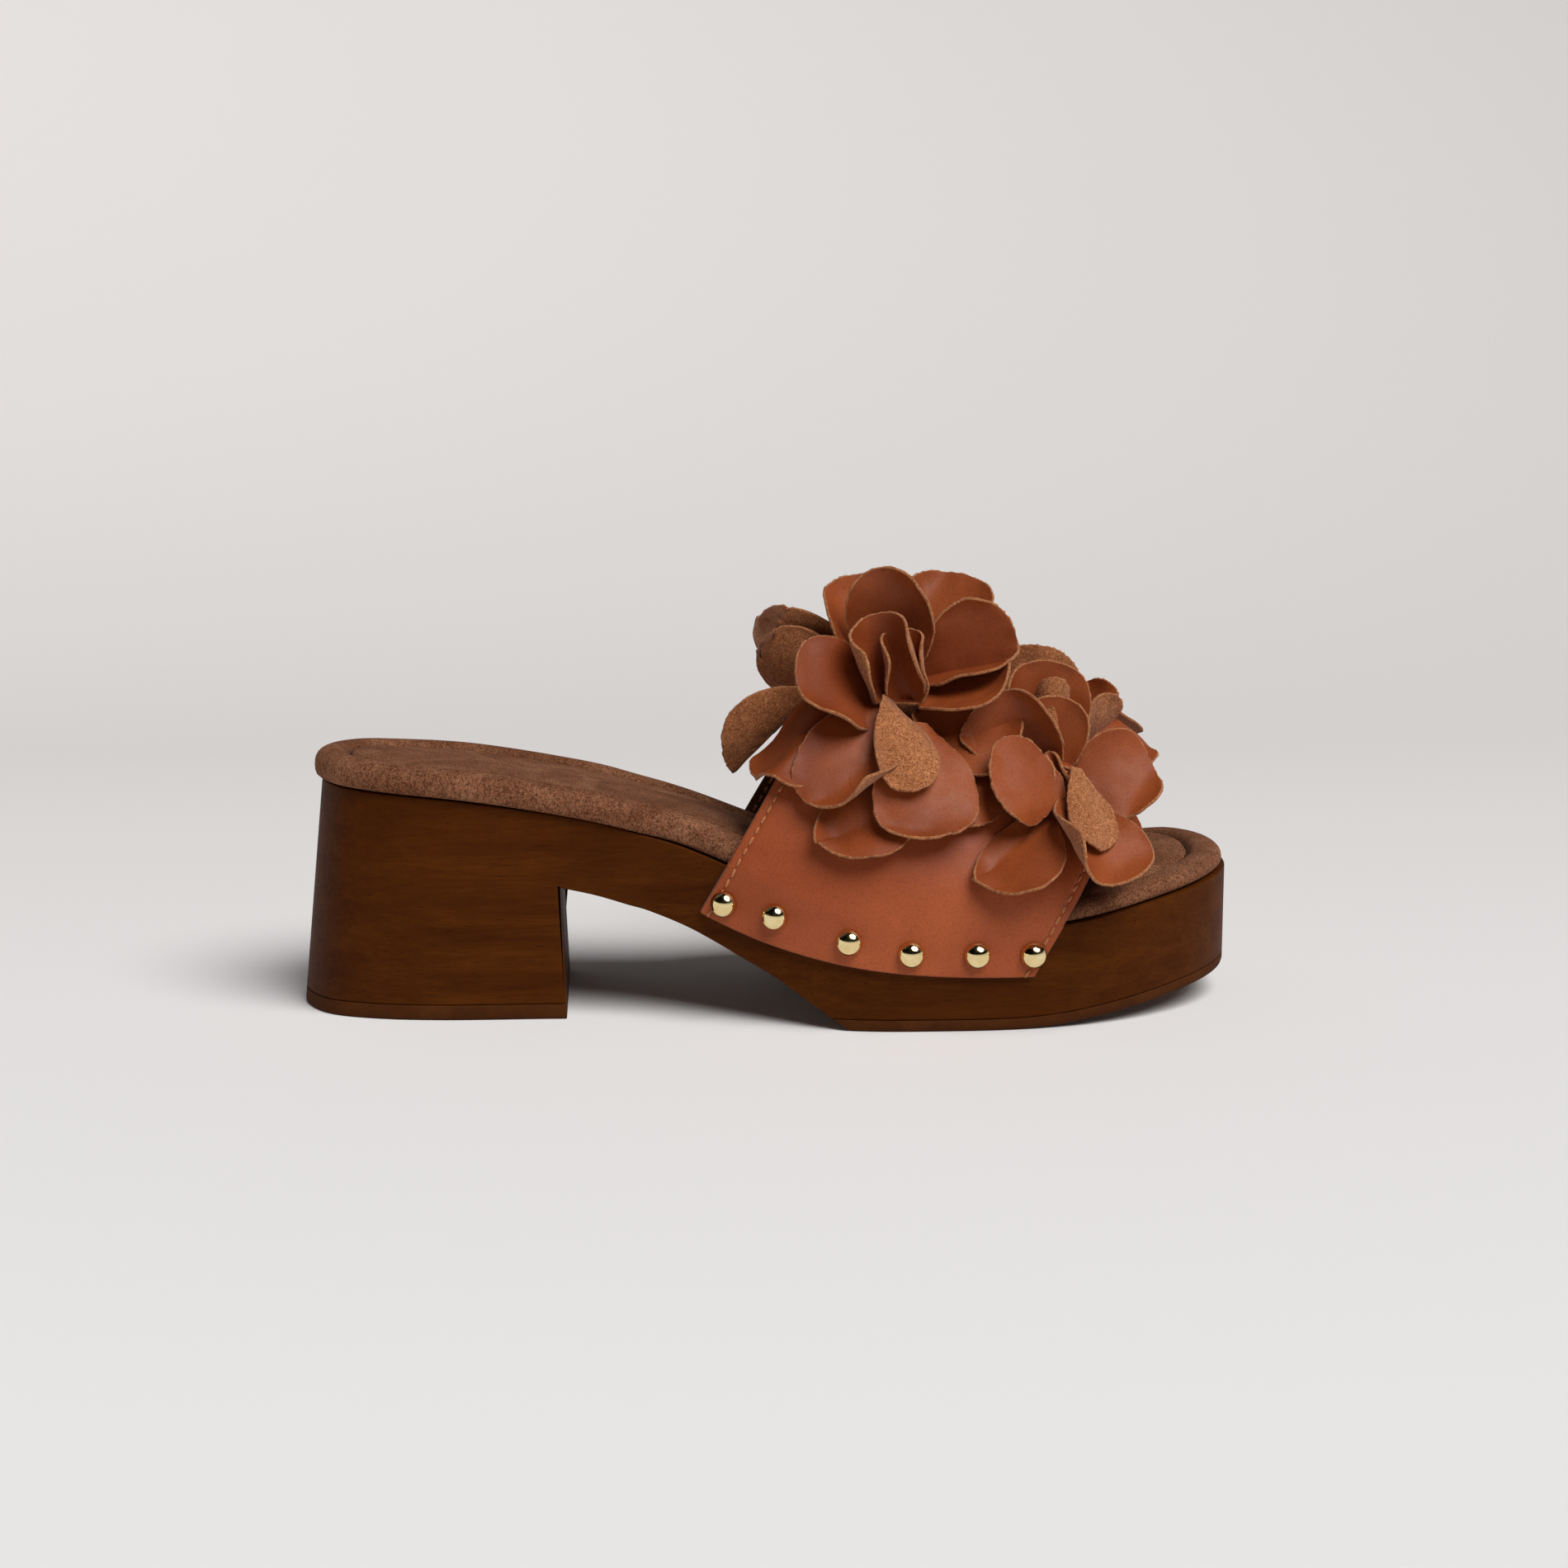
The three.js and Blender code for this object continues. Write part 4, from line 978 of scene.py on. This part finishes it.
def build_vamp():
    """The leather upper, with stitches along its front and rear edges and round the footbed's groove."""
    outer, inner, planes, outward = vamp_sides()
    faces, indices = wall_faces(*outer.shape[:2])
    points = np.vstack([outer.reshape(-1, 3), inner.reshape(-1, 3)])
    vamp = mesh_piece("leather_vamp", points, faces, [leather, lining, vamp_edge], indices)
    show(soften(vamp, VAMP_EDGE_ROUND, 60), "vamp_leather", "vamp")
    stitch = lathe_piece("one_stitch", stitch_profile(), 8)
    stitch.data.transform(Matrix.Rotation(math.pi / 2, 4, "Y"))
    columns = np.linspace(0, 1, VAMP_COLUMNS + 1)
    around = np.linspace(HEM_TO_STITCHES, 1 - HEM_TO_STITCHES, 260)
    lines_out, lines_in = [], []
    for plane in (PLANE_REAR + EDGE_STITCH_INSET * SLOPE, PLANE_FRONT - EDGE_STITCH_INSET * SLOPE):
        row = int(np.abs(planes - plane).argmin())
        face, away = (
            np.stack([np.interp(around, columns, grid[row, :, k]) for k in range(3)], 1)
            for grid in (outer, outward)
        )
        lines_out.append((face + away * STITCH_RISE, away))
        under = vamp_points(plane, around, SEAM)
        lines_in.append((under - away * STITCH_SINK, -away))
    lines = lines_out + lines_in
    rows = run_copies("vamp_stitches", lines, stitch_tree, stitch, tan_thread, STITCH_PITCH)
    show(rows, "vamp_leather")
    groove = footbed_ring(1.0, 0.92, 0.75)
    groove = np.vstack([groove, groove[:1]])
    up = np.tile((0.0, 0.0, 1.0), (len(groove), 1))
    pitch = STITCH_PITCH * 1.2
    rows = run_copies("footbed_stitches", [(groove, up)], stitch_tree, stitch, brown_thread, pitch)
    show(rows, "footbed_suede")
    bpy.data.objects.remove(stitch)


def stitch_profile():
    """Section of a stitch along its length: a short rod with rounded ends."""
    half, radius = STITCH_LENGTH / 2, THREAD_WIDTH / 2
    shares = [(0, -1), (0.6, -0.93), (1, -0.7), (1, 0.7), (0.6, 0.93), (0, 1)]
    return [(out * radius, along * half) for out, along in shares]


def build_nails():
    """Domed heads, each on a short skirt that is let into its dent in the leather."""
    sunk, chamfer_top = -0.6, -0.35
    dome = [(0, sunk), (NAIL_RADIUS * 0.9, sunk), (NAIL_RADIUS, chamfer_top), (NAIL_RADIUS, 0)]
    for angle in np.linspace(0, math.pi / 2, 13)[1:-1]:
        dome.append((NAIL_RADIUS * math.cos(angle), NAIL_HEIGHT * math.sin(angle)))
    head = lathe_piece("one_nail", [*dome, (0, NAIL_HEIGHT)], 48)
    lift = SEAM + VAMP_WALL + SEAM
    lines = [(np.array([at + facing * lift]), np.array([facing])) for at, facing in nail_seats()]
    nails = run_copies("brass_nails", lines, nail_tree, head, brass)
    names = [f"stud_{side}_{i}" for side in ("outer", "inner") for i in range(1, 7)]
    show(nails, "stud_brass", *names)
    bpy.data.objects.remove(head)


# Flowers

# Outline of half a petal: share of its length, share of half its width
PETAL_OUTLINE = [
    (0, 0.24), (0.1, 0.4), (0.2, 0.58), (0.3, 0.75), (0.4, 0.88), (0.5, 0.965), (0.6, 1.0),
    (0.7, 0.995), (0.8, 0.93), (0.88, 0.8), (0.945, 0.58), (0.985, 0.3), (1, 0),
]
PETAL_CENTRE = 0.58
RIM_POINTS = 104
RIM_RINGS = (0.12, 0.26, 0.4, 0.53, 0.65, 0.75, 0.83, 0.89, 0.935, 0.965, 0.985, 1.0)

# Waves across a petal and the roughness of its cut edge: height and size in millimetres
WAVE, WAVE_SIZE = 0.9, 11
FINE_WAVE, FINE_WAVE_SIZE = 0.25, 5
FRAY, FRAY_SIZE, SLOW_FRAY_SIZE = 0.16, 0.8, 2.6

# Section of the cut edge: share of half the wall, distance out, share of the fray
EDGE_SECTION = [(0.8, 0.1, 1.0), (0, 0.16, 1.2), (-0.8, 0.1, 1.0)]

# Petals: place of the root ahead, inward and above the hub as shares of its radius; turn and rise of
# the middle line and roll of the face in degrees; reach and breadth as shares of the petal's sizes;
# curl along it and cup across it in degrees; layer over the vamp
REAR_PETALS = [
    (-0.4, 0.9, 0.8, 122, 71, -8, 1.0, 1.1, 10, 30, 3),
    (0.0, 0.2, 0.8, 62, 92, 6, 1.04, 0.9, -18, 26, 3),
    (0.7, 1.0, 1.1, 32, 58, 20, 1.08, 1.0, 14, 26, 3),
    (0.8, 0, 1.3, -10, 37, 104, 0.93, 0.84, -8, 24, 3),
    (-0.4, -0.5, 0.5, -142, 16, -58, 0.95, 1.0, 12, 26, 2),
    (-0.7, 0.9, 0.3, 158, 18, 58, 1.1, 0.95, 0, 26, 1),
    (-0.9, 0.5, 0, 173, -18, 56, 1.3, 1.15, 8, 22, 1),
    (-1.2, -0.5, -0.3, -156, -18, -14, 1.1, 1.0, 16, -16, 1),
    (-0.8, -1.6, 0.2, -128, -38, -10, 1.1, 1.05, 6, 18, 2),
    (-0.9, -2.2, -2.0, -113, -38, 0, 1.0, 0.95, 8, -8, 0),
    (0.3, -2.2, -0.8, -84, -40, 0, 1.06, 0.98, 8, -14, 3),
    (0.6, -1.5, -0.9, -60, -36, 0, 1.02, 1.0, 8, -14, 1),
    (-0.5, -2.3, 0.9, -82, -48, 176, 0.92, 0.62, -12, 34, 5),
    (0.2, -1.0, -0.2, 180, 70, -88, 0.88, 1.16, -8, 128, 3),
    (0.4, -1.2, -0.2, 150, 83, -56, 0.72, 0.72, -4, 116, 3),
    (0.5, 0.3, 1.2, -10, 14, 8, 0.95, 1.0, 4, 12, 3),
    (0.5, -0.6, 0.4, -20, 14, 24, 0.88, 0.95, 4, 14, 3),
    (0.5, -0.8, -0.4, -30, -8, 44, 0.95, 0.95, 6, 10, 1),
    (0, 1.6, 0, 92, -14, 0, 1.06, 1.05, 16, -14, 0),
    (-0.9, 1.4, 0, 132, -8, 0, 1.05, 1.0, 14, -10, 1),
    (0.9, 1.4, 0, 48, -10, 0, 1.05, 1.0, 14, -10, 1),
    (-0.7, 2.1, 1.2, 160, 19, 50, 1.1, 0.95, 4, 22, 2),
]
FRONT_PETALS = [
    (-0.3, 0.1, 0.4, -174, 50, -98, 0.9, 1.04, 4, 30, 3),
    (-0.3, 0.3, 0.5, 86, 86, 0, 0.72, 0.72, -6, 30, 3),
    (-0.5, 0.9, 0.6, 96, 78, 0, 0.98, 0.95, -14, 30, 3),
    (0.5, 0.7, 0.7, 20, 30, 34, 0.84, 0.8, 16, 10, 3),
    (0.3, 0, 0.3, -12, 19, 66, 0.76, 0.9, 30, 20, 2),
    (-0.1, -1.6, 0.7, -156, 14, -56, 0.68, 0.84, 12, 20, 2),
    (-0.9, -1.7, -0.6, -128, -28, 0, 0.88, 0.9, 12, -8, 0),
    (0.2, -1.5, 0.2, -72, -40, -10, 0.92, 1.1, 4, 46, 2),
    (0.6, -0.4, 0, -14, -30, 10, 0.7, 0.9, 10, 12, 0),
    (0.4, -1.6, 1.4, -72, -42, 168, 0.74, 0.46, -14, 44, 3),
    # small rolls and folds in the middle
    (-0.2, 0.1, 1.3, 100, 84, 176, 0.72, 0.4, 0, 70, 3),
    (0.4, 1.2, 1.4, 30, 40, -70, 0.74, 0.5, 6, 20, 3),
    (-0.1, -1.4, 0.1, 120, 62, -20, 0.4, 0.3, 0, 150, 3),
]

# Turned edges: petal's number, the edge's direction from the petal's middle in degrees (0 at the tip,
# 90 on its positive side), where the turn starts as a share of the way out, and its lift in
# millimetres, towards the smooth face where positive
REAR_TURNS = [
    (2, -50, 0.5, 2.5), (3, 90, 0.45, 4), (5, 70, 0.4, 2), (8, 20, 0.5, 2.5), (9, 55, 0.42, 5.5),
    (10, -60, 0.55, 2.5), (11, 20, 0.6, 2), (12, 60, 0.5, -2), (13, -120, 0.15, 4.5), (13, 70, 0.6, -2),
    (16, 0, 0.3, 3), (17, 0, 0.3, 4), (17, 90, 0.5, -2.5), (18, 0, 0.4, 2.5), (20, 30, 0.4, 3),
    (21, -40, 0.4, 3), (22, -80, 0.4, 3),
]
FRONT_TURNS = [
    (1, -90, 0.5, 4.5), (3, 80, 0.5, 3), (4, 0, 0.5, -3), (5, -45, 0.5, 3), (6, 100, 0.4, -3.5),
    (7, -40, 0.5, 2), (8, -80, 0.3, 4), (8, 20, 0.5, 2), (10, 60, 0.4, -2), (10, -80, 0.4, -3),
]
# Flowers: piece, solid that it replaces, place along the vamp and around it, petals, turned edges, and
# 1 or mirrored to the inner side, -1
FLOWERS = [
    ("rear_flower", "flower_rear", 0.234, 0.43, REAR_PETALS, REAR_TURNS, 1),
    ("front_flower", "flower_front_outer", 0.817, 0.375, FRONT_PETALS, FRONT_TURNS, 1),
    ("inner_flower", "flower_front_inner", 0.8, 0.625, FRONT_PETALS, FRONT_TURNS, -1),
]

# Button that the petals are sewn to: shares of its radius and height
BUTTON_PROFILE = [(0, 0.06), (0.8, 0.06), (1, 0.3), (0.85, 0.6), (0.5, 0.9), (0, 1)]
BUTTON_RADIUS = 4.2
BUTTON_HEIGHT = 5.4

# Loose fibre of the cut edges: radius and height along it, in millimetres
FIBRE_PROFILE = [(0, -0.1), (0.026, 0), (0.018, 0.16), (0, 0.34)]
FIBRE_PITCH = 0.5


def petal_surface(hub, row, along, across):
    """Middle of a petal's wall, at shares of its length and of half its width."""
    ahead, inward, above, turn, rise, roll, reach, breadth, curl, cup, layer = row
    a, b, c = np.radians([turn, rise, roll])
    heading = np.array([math.cos(b) * math.cos(a), math.cos(b) * math.sin(a), math.sin(b)])
    level = np.array([-math.sin(b) * math.cos(a), -math.sin(b) * math.sin(a), math.cos(b)])
    face = level * math.cos(c) + np.cross(heading, level) * math.sin(c)
    side = np.cross(face, heading)
    length, half = reach * PETAL_LENGTH, breadth * PETAL_WIDTH / 2
    bend_rate = math.radians(curl or 0.01) / length
    bend = (bend_rate * along * length)[..., None]
    cup_rate = math.radians(cup) / half
    fold = (cup_rate * across * half)[..., None]
    here = face * np.cos(bend) + heading * np.sin(bend)
    points = hub + np.array([ahead, inward, above]) * HUB_RADIUS
    points = points + heading * np.sin(bend) / bend_rate - face * (1 - np.cos(bend)) / bend_rate
    points = points + side * np.sin(fold) / cup_rate + here * (1 - np.cos(fold)) / cup_rate
    return clear_of_vamp(points, PETAL_DRAPE + PETAL_WALL / 2 + layer * PETAL_PITCH)


def petal_rim():
    """Evenly spaced points round a petal's outline, as shares of its length and half width."""
    half = np.array(PETAL_OUTLINE)
    outline = spline([*(half * (1, -1)), *half[-2::-1]], 6)
    steps = np.concatenate([[0], np.cumsum(np.linalg.norm(np.diff(outline * (1.2, 1), axis=0), axis=1))])
    wanted = np.linspace(0, steps[-1], RIM_POINTS)
    return np.stack([np.interp(wanted, steps, outline[:, k]) for k in range(2)], 1)


petal_outline = petal_rim()


def closed_normals(grid):
    """Unit normals of rings of points round a petal, from its middle to its rim."""
    out = np.gradient(grid, axis=0)
    around = np.roll(grid, -1, 1) - np.roll(grid, 1, 1)
    normals = np.cross(out, around)
    return normals / np.maximum(np.linalg.norm(normals, axis=-1), 1e-9)[..., None]


def turned_edges(flat, turns):
    """Lift of a petal's turned edges, at shares of its length and half width."""
    lift = 0
    ahead = (flat[..., 0] - PETAL_CENTRE) / (1 - PETAL_CENTRE)
    for direction, start, height in turns:
        angle = math.radians(direction)
        far = math.cos(angle) * ahead + math.sin(angle) * flat[..., 1]
        lift = lift + height * np.clip((far - start) / (1 - start), 0, 1.2) ** 2
    return lift


def petal_mesh(hub, row, turns, seed):
    """One petal: its points, faces and materials, and its rim's middle line with outward directions."""
    centre = np.array([PETAL_CENTRE, 0.0])
    shares = np.array(RIM_RINGS)[:, None, None]
    flat = centre + (petal_outline - centre) * shares
    middle = petal_surface(hub, row, flat[..., 0], flat[..., 1])
    normals = closed_normals(middle)
    wave = WAVE * ripple(middle, WAVE_SIZE, seed * 7.3)
    wave = wave + FINE_WAVE * ripple(middle, FINE_WAVE_SIZE, seed * 3.1)
    lift = wave * shares[..., 0] ** 2 + turned_edges(flat, turns)
    middle = middle + normals * lift[..., None]
    normals = closed_normals(middle)
    rim = middle[-1]
    outward = rim - middle[-2]
    outward /= np.maximum(np.linalg.norm(outward, axis=-1), 1e-9)[:, None]
    fray = 0.6 + ripple(rim, FRAY_SIZE, seed) + 0.6 * ripple(rim, SLOW_FRAY_SIZE, seed + 5)
    fray = FRAY * fray[:, None]
    half = PETAL_WALL / 2
    top = middle + normals * half
    bottom = middle - normals * half
    side = [
        rim + normals[-1] * half * up + outward * (out + rough * fray) for up, out, rough in EDGE_SECTION
    ]
    mid_top = petal_surface(hub, row, centre[:1], centre[1:]) + normals[0].mean(0) * half
    mid_bottom = mid_top - normals[0].mean(0) * 2 * half
    rings, size = len(RIM_RINGS), RIM_POINTS
    points = np.vstack([top.reshape(-1, 3), *side, bottom[::-1].reshape(-1, 3), mid_top, mid_bottom])
    faces, indices = [], []
    for r in range(2 * rings + 2):
        kind = 0 if r < rings - 1 else 1 if r > rings + 2 else 2
        for i in range(size):
            j = (i + 1) % size
            faces.append((r * size + i, (r + 1) * size + i, (r + 1) * size + j, r * size + j))
            indices.append(kind)
    total = (2 * rings + 3) * size
    for i in range(size):
        j = (i + 1) % size
        faces += [(total, i, j), (total + 1, total - size + j, total - size + i)]
        indices += [0, 1]
    return points, faces, indices, (side[1], outward)


def build_flower(name, cad, share, around, rows, turns, side):
    """Petals and a button sewn on the vamp; returns the middle lines of the petals' cut edges."""
    plane = PLANE_REAR + share * (PLANE_FRONT - PLANE_REAR)
    hub = vamp_points(plane, around, SEAM + VAMP_WALL)
    facing = vamp_points(plane, around, SEAM + VAMP_WALL + 1) - hub
    facing /= np.linalg.norm(facing)
    if side < 0:
        rows = [(r[0], -r[1], r[2], -r[3], r[4], -r[5], *r[6:]) for r in rows]
    points, faces, indices, rims = [], [], [], []
    for number, row in enumerate(rows):
        edges = [(side * turn[1], *turn[2:]) for turn in turns if turn[0] == number + 1]
        petal, petal_faces, kinds, rim = petal_mesh(hub, row, edges, number + 1 + 40 * (side < 0))
        start = sum(map(len, points))
        points.append(petal)
        faces += [tuple(start + k for k in face) for face in petal_faces]
        indices += kinds
        rims.append(rim)
    flower = mesh_piece(name, np.vstack(points), faces, [petal_leather, flesh, raw_edge], indices)
    show(flower, "petal_leather", cad)
    profile = [(r * BUTTON_RADIUS, z * BUTTON_HEIGHT) for r, z in BUTTON_PROFILE]
    button = lathe_piece(name + "_button", profile, 24)
    turn = Vector((0, 0, 1)).rotation_difference(Vector(facing)).to_matrix().to_4x4()
    button.data.transform(turn)
    button.data.transform(Matrix.Translation(Vector(metres(hub))))
    button.data.materials.append(flesh)
    show(button, "petal_leather")
    return rims


def build_flowers():
    """The three flowers, and the fibres that stand on their cut edges."""
    rims = [rim for flower in FLOWERS for rim in build_flower(*flower)]
    fibre = lathe_piece("one_fibre", FIBRE_PROFILE, 4)
    fuzz = run_copies("petal_fuzz", rims, fibre_tree, fibre, raw_edge, FIBRE_PITCH)
    show(fuzz, "petal_leather")
    bpy.data.objects.remove(fibre)


# Floor, lights and camera

# Paper: radius of its flat part and of its bend in millimetres, and how far it bends up, in degrees, on
# the camera's side and beyond the shoe
PAPER_FLAT = 500
PAPER_BEND = 3200
PAPER_NEAR_ANGLE = 31
PAPER_FAR_ANGLE = 48
PAPER_SEGMENTS = 96
BEND_STEPS = 30

# Lights: where each comes from, how many degrees of the sky it fills, its power
LIGHTS = (
    ("key_softbox", (0.42, -0.58, 1.0), 42, 3.15),
    ("fill_softbox", (-0.8, 0.6, 1.2), 60, 0.06),
)
ROOM_LIGHT = 0.04

# Camera at the photograph's place, in metres; how far it looks down and turns, in degrees; its lens
EYE_PLACE = (0.04575, -0.636, 0.153)
LOOK_DOWN = 8.6
LOOK_ASIDE = 4.3
LENS = 54.95


def pale_paper():
    """Matt paper, a little darker away from the camera: painted shade for the light's falloff."""
    material, tree = new_material("pale_paper")
    place = coordinates(tree)
    depth = node(tree, "ShaderNodeSeparateXYZ", Vector=place).outputs["Y"]
    # Painted shade: the paper's colour falls from near to far as the light would fall off.
    near, far = srgb(246, 244, 243), srgb(222, 218, 216)
    colour = ramp(tree, levels(tree, depth, -0.3, 0.5), (0, near), (1, far))
    tooth = speckle(tree, place, 60, 2)
    finish(tree, colour, 0.9, bumps(tree, (tooth, 0.05, 0.001)), Specular_IOR_Level=0.1)
    return material


def build_stage():
    """Paper that bends up all round the shoe, the two lights and the camera."""
    around = np.arange(PAPER_SEGMENTS) / PAPER_SEGMENTS * 2 * np.pi
    beyond = (1 + np.sin(around)) / 2
    highest = np.radians(PAPER_NEAR_ANGLE + (PAPER_FAR_ANGLE - PAPER_NEAR_ANGLE) * beyond)
    reach = [(np.full_like(around, PAPER_FLAT * share), np.zeros_like(around)) for share in (0.25, 0.6)]
    for bend in np.outer(np.linspace(0, 1, BEND_STEPS), highest):
        reach.append((PAPER_FLAT + PAPER_BEND * np.sin(bend), PAPER_BEND * (1 - np.cos(bend))))
    rings = [np.column_stack([r * np.cos(around), r * np.sin(around), z]) for r, z in reach]
    points = np.vstack([*rings, [(0, 0, 0)]]) + (ORIGIN_STATION, 0, 0)
    faces = [(len(points) - 1, i, (i + 1) % PAPER_SEGMENTS) for i in range(PAPER_SEGMENTS)]
    for r in range(len(rings) - 1):
        for i in range(PAPER_SEGMENTS):
            a, b = r * PAPER_SEGMENTS + i, r * PAPER_SEGMENTS + (i + 1) % PAPER_SEGMENTS
            faces.append((a, a + PAPER_SEGMENTS, b + PAPER_SEGMENTS, b))
    mesh_piece("paper_bowl", points, faces, [pale_paper()])
    for name, place, spread, power in LIGHTS:
        light = bpy.data.lights.new(name, "SUN")
        light.angle = math.radians(spread)
        light.energy = power
        lamp = bpy.data.objects.new(name, light)
        lamp.location = place
        lamp.rotation_euler = (-Vector(place)).to_track_quat("-Z", "Y").to_euler()
        bpy.context.scene.collection.objects.link(lamp)
    world = bpy.data.worlds.new("studio")
    world.use_nodes = True
    world.node_tree.nodes["Background"].inputs["Strength"].default_value = ROOM_LIGHT
    bpy.context.scene.world = world
    bpy.context.scene.view_settings.view_transform = "Standard"
    camera = bpy.data.cameras.new("camera")
    camera.lens = LENS
    camera.sensor_width = 36
    camera.clip_start = 0.01
    eye = bpy.data.objects.new("camera", camera)
    eye.location = EYE_PLACE
    eye.rotation_euler = (math.radians(90 - LOOK_DOWN), 0, math.radians(-LOOK_ASIDE))
    bpy.context.scene.collection.objects.link(eye)
    bpy.context.scene.camera = eye


build_stage()
build_sole()
build_footbed()
build_vamp()
build_nails()
build_flowers()
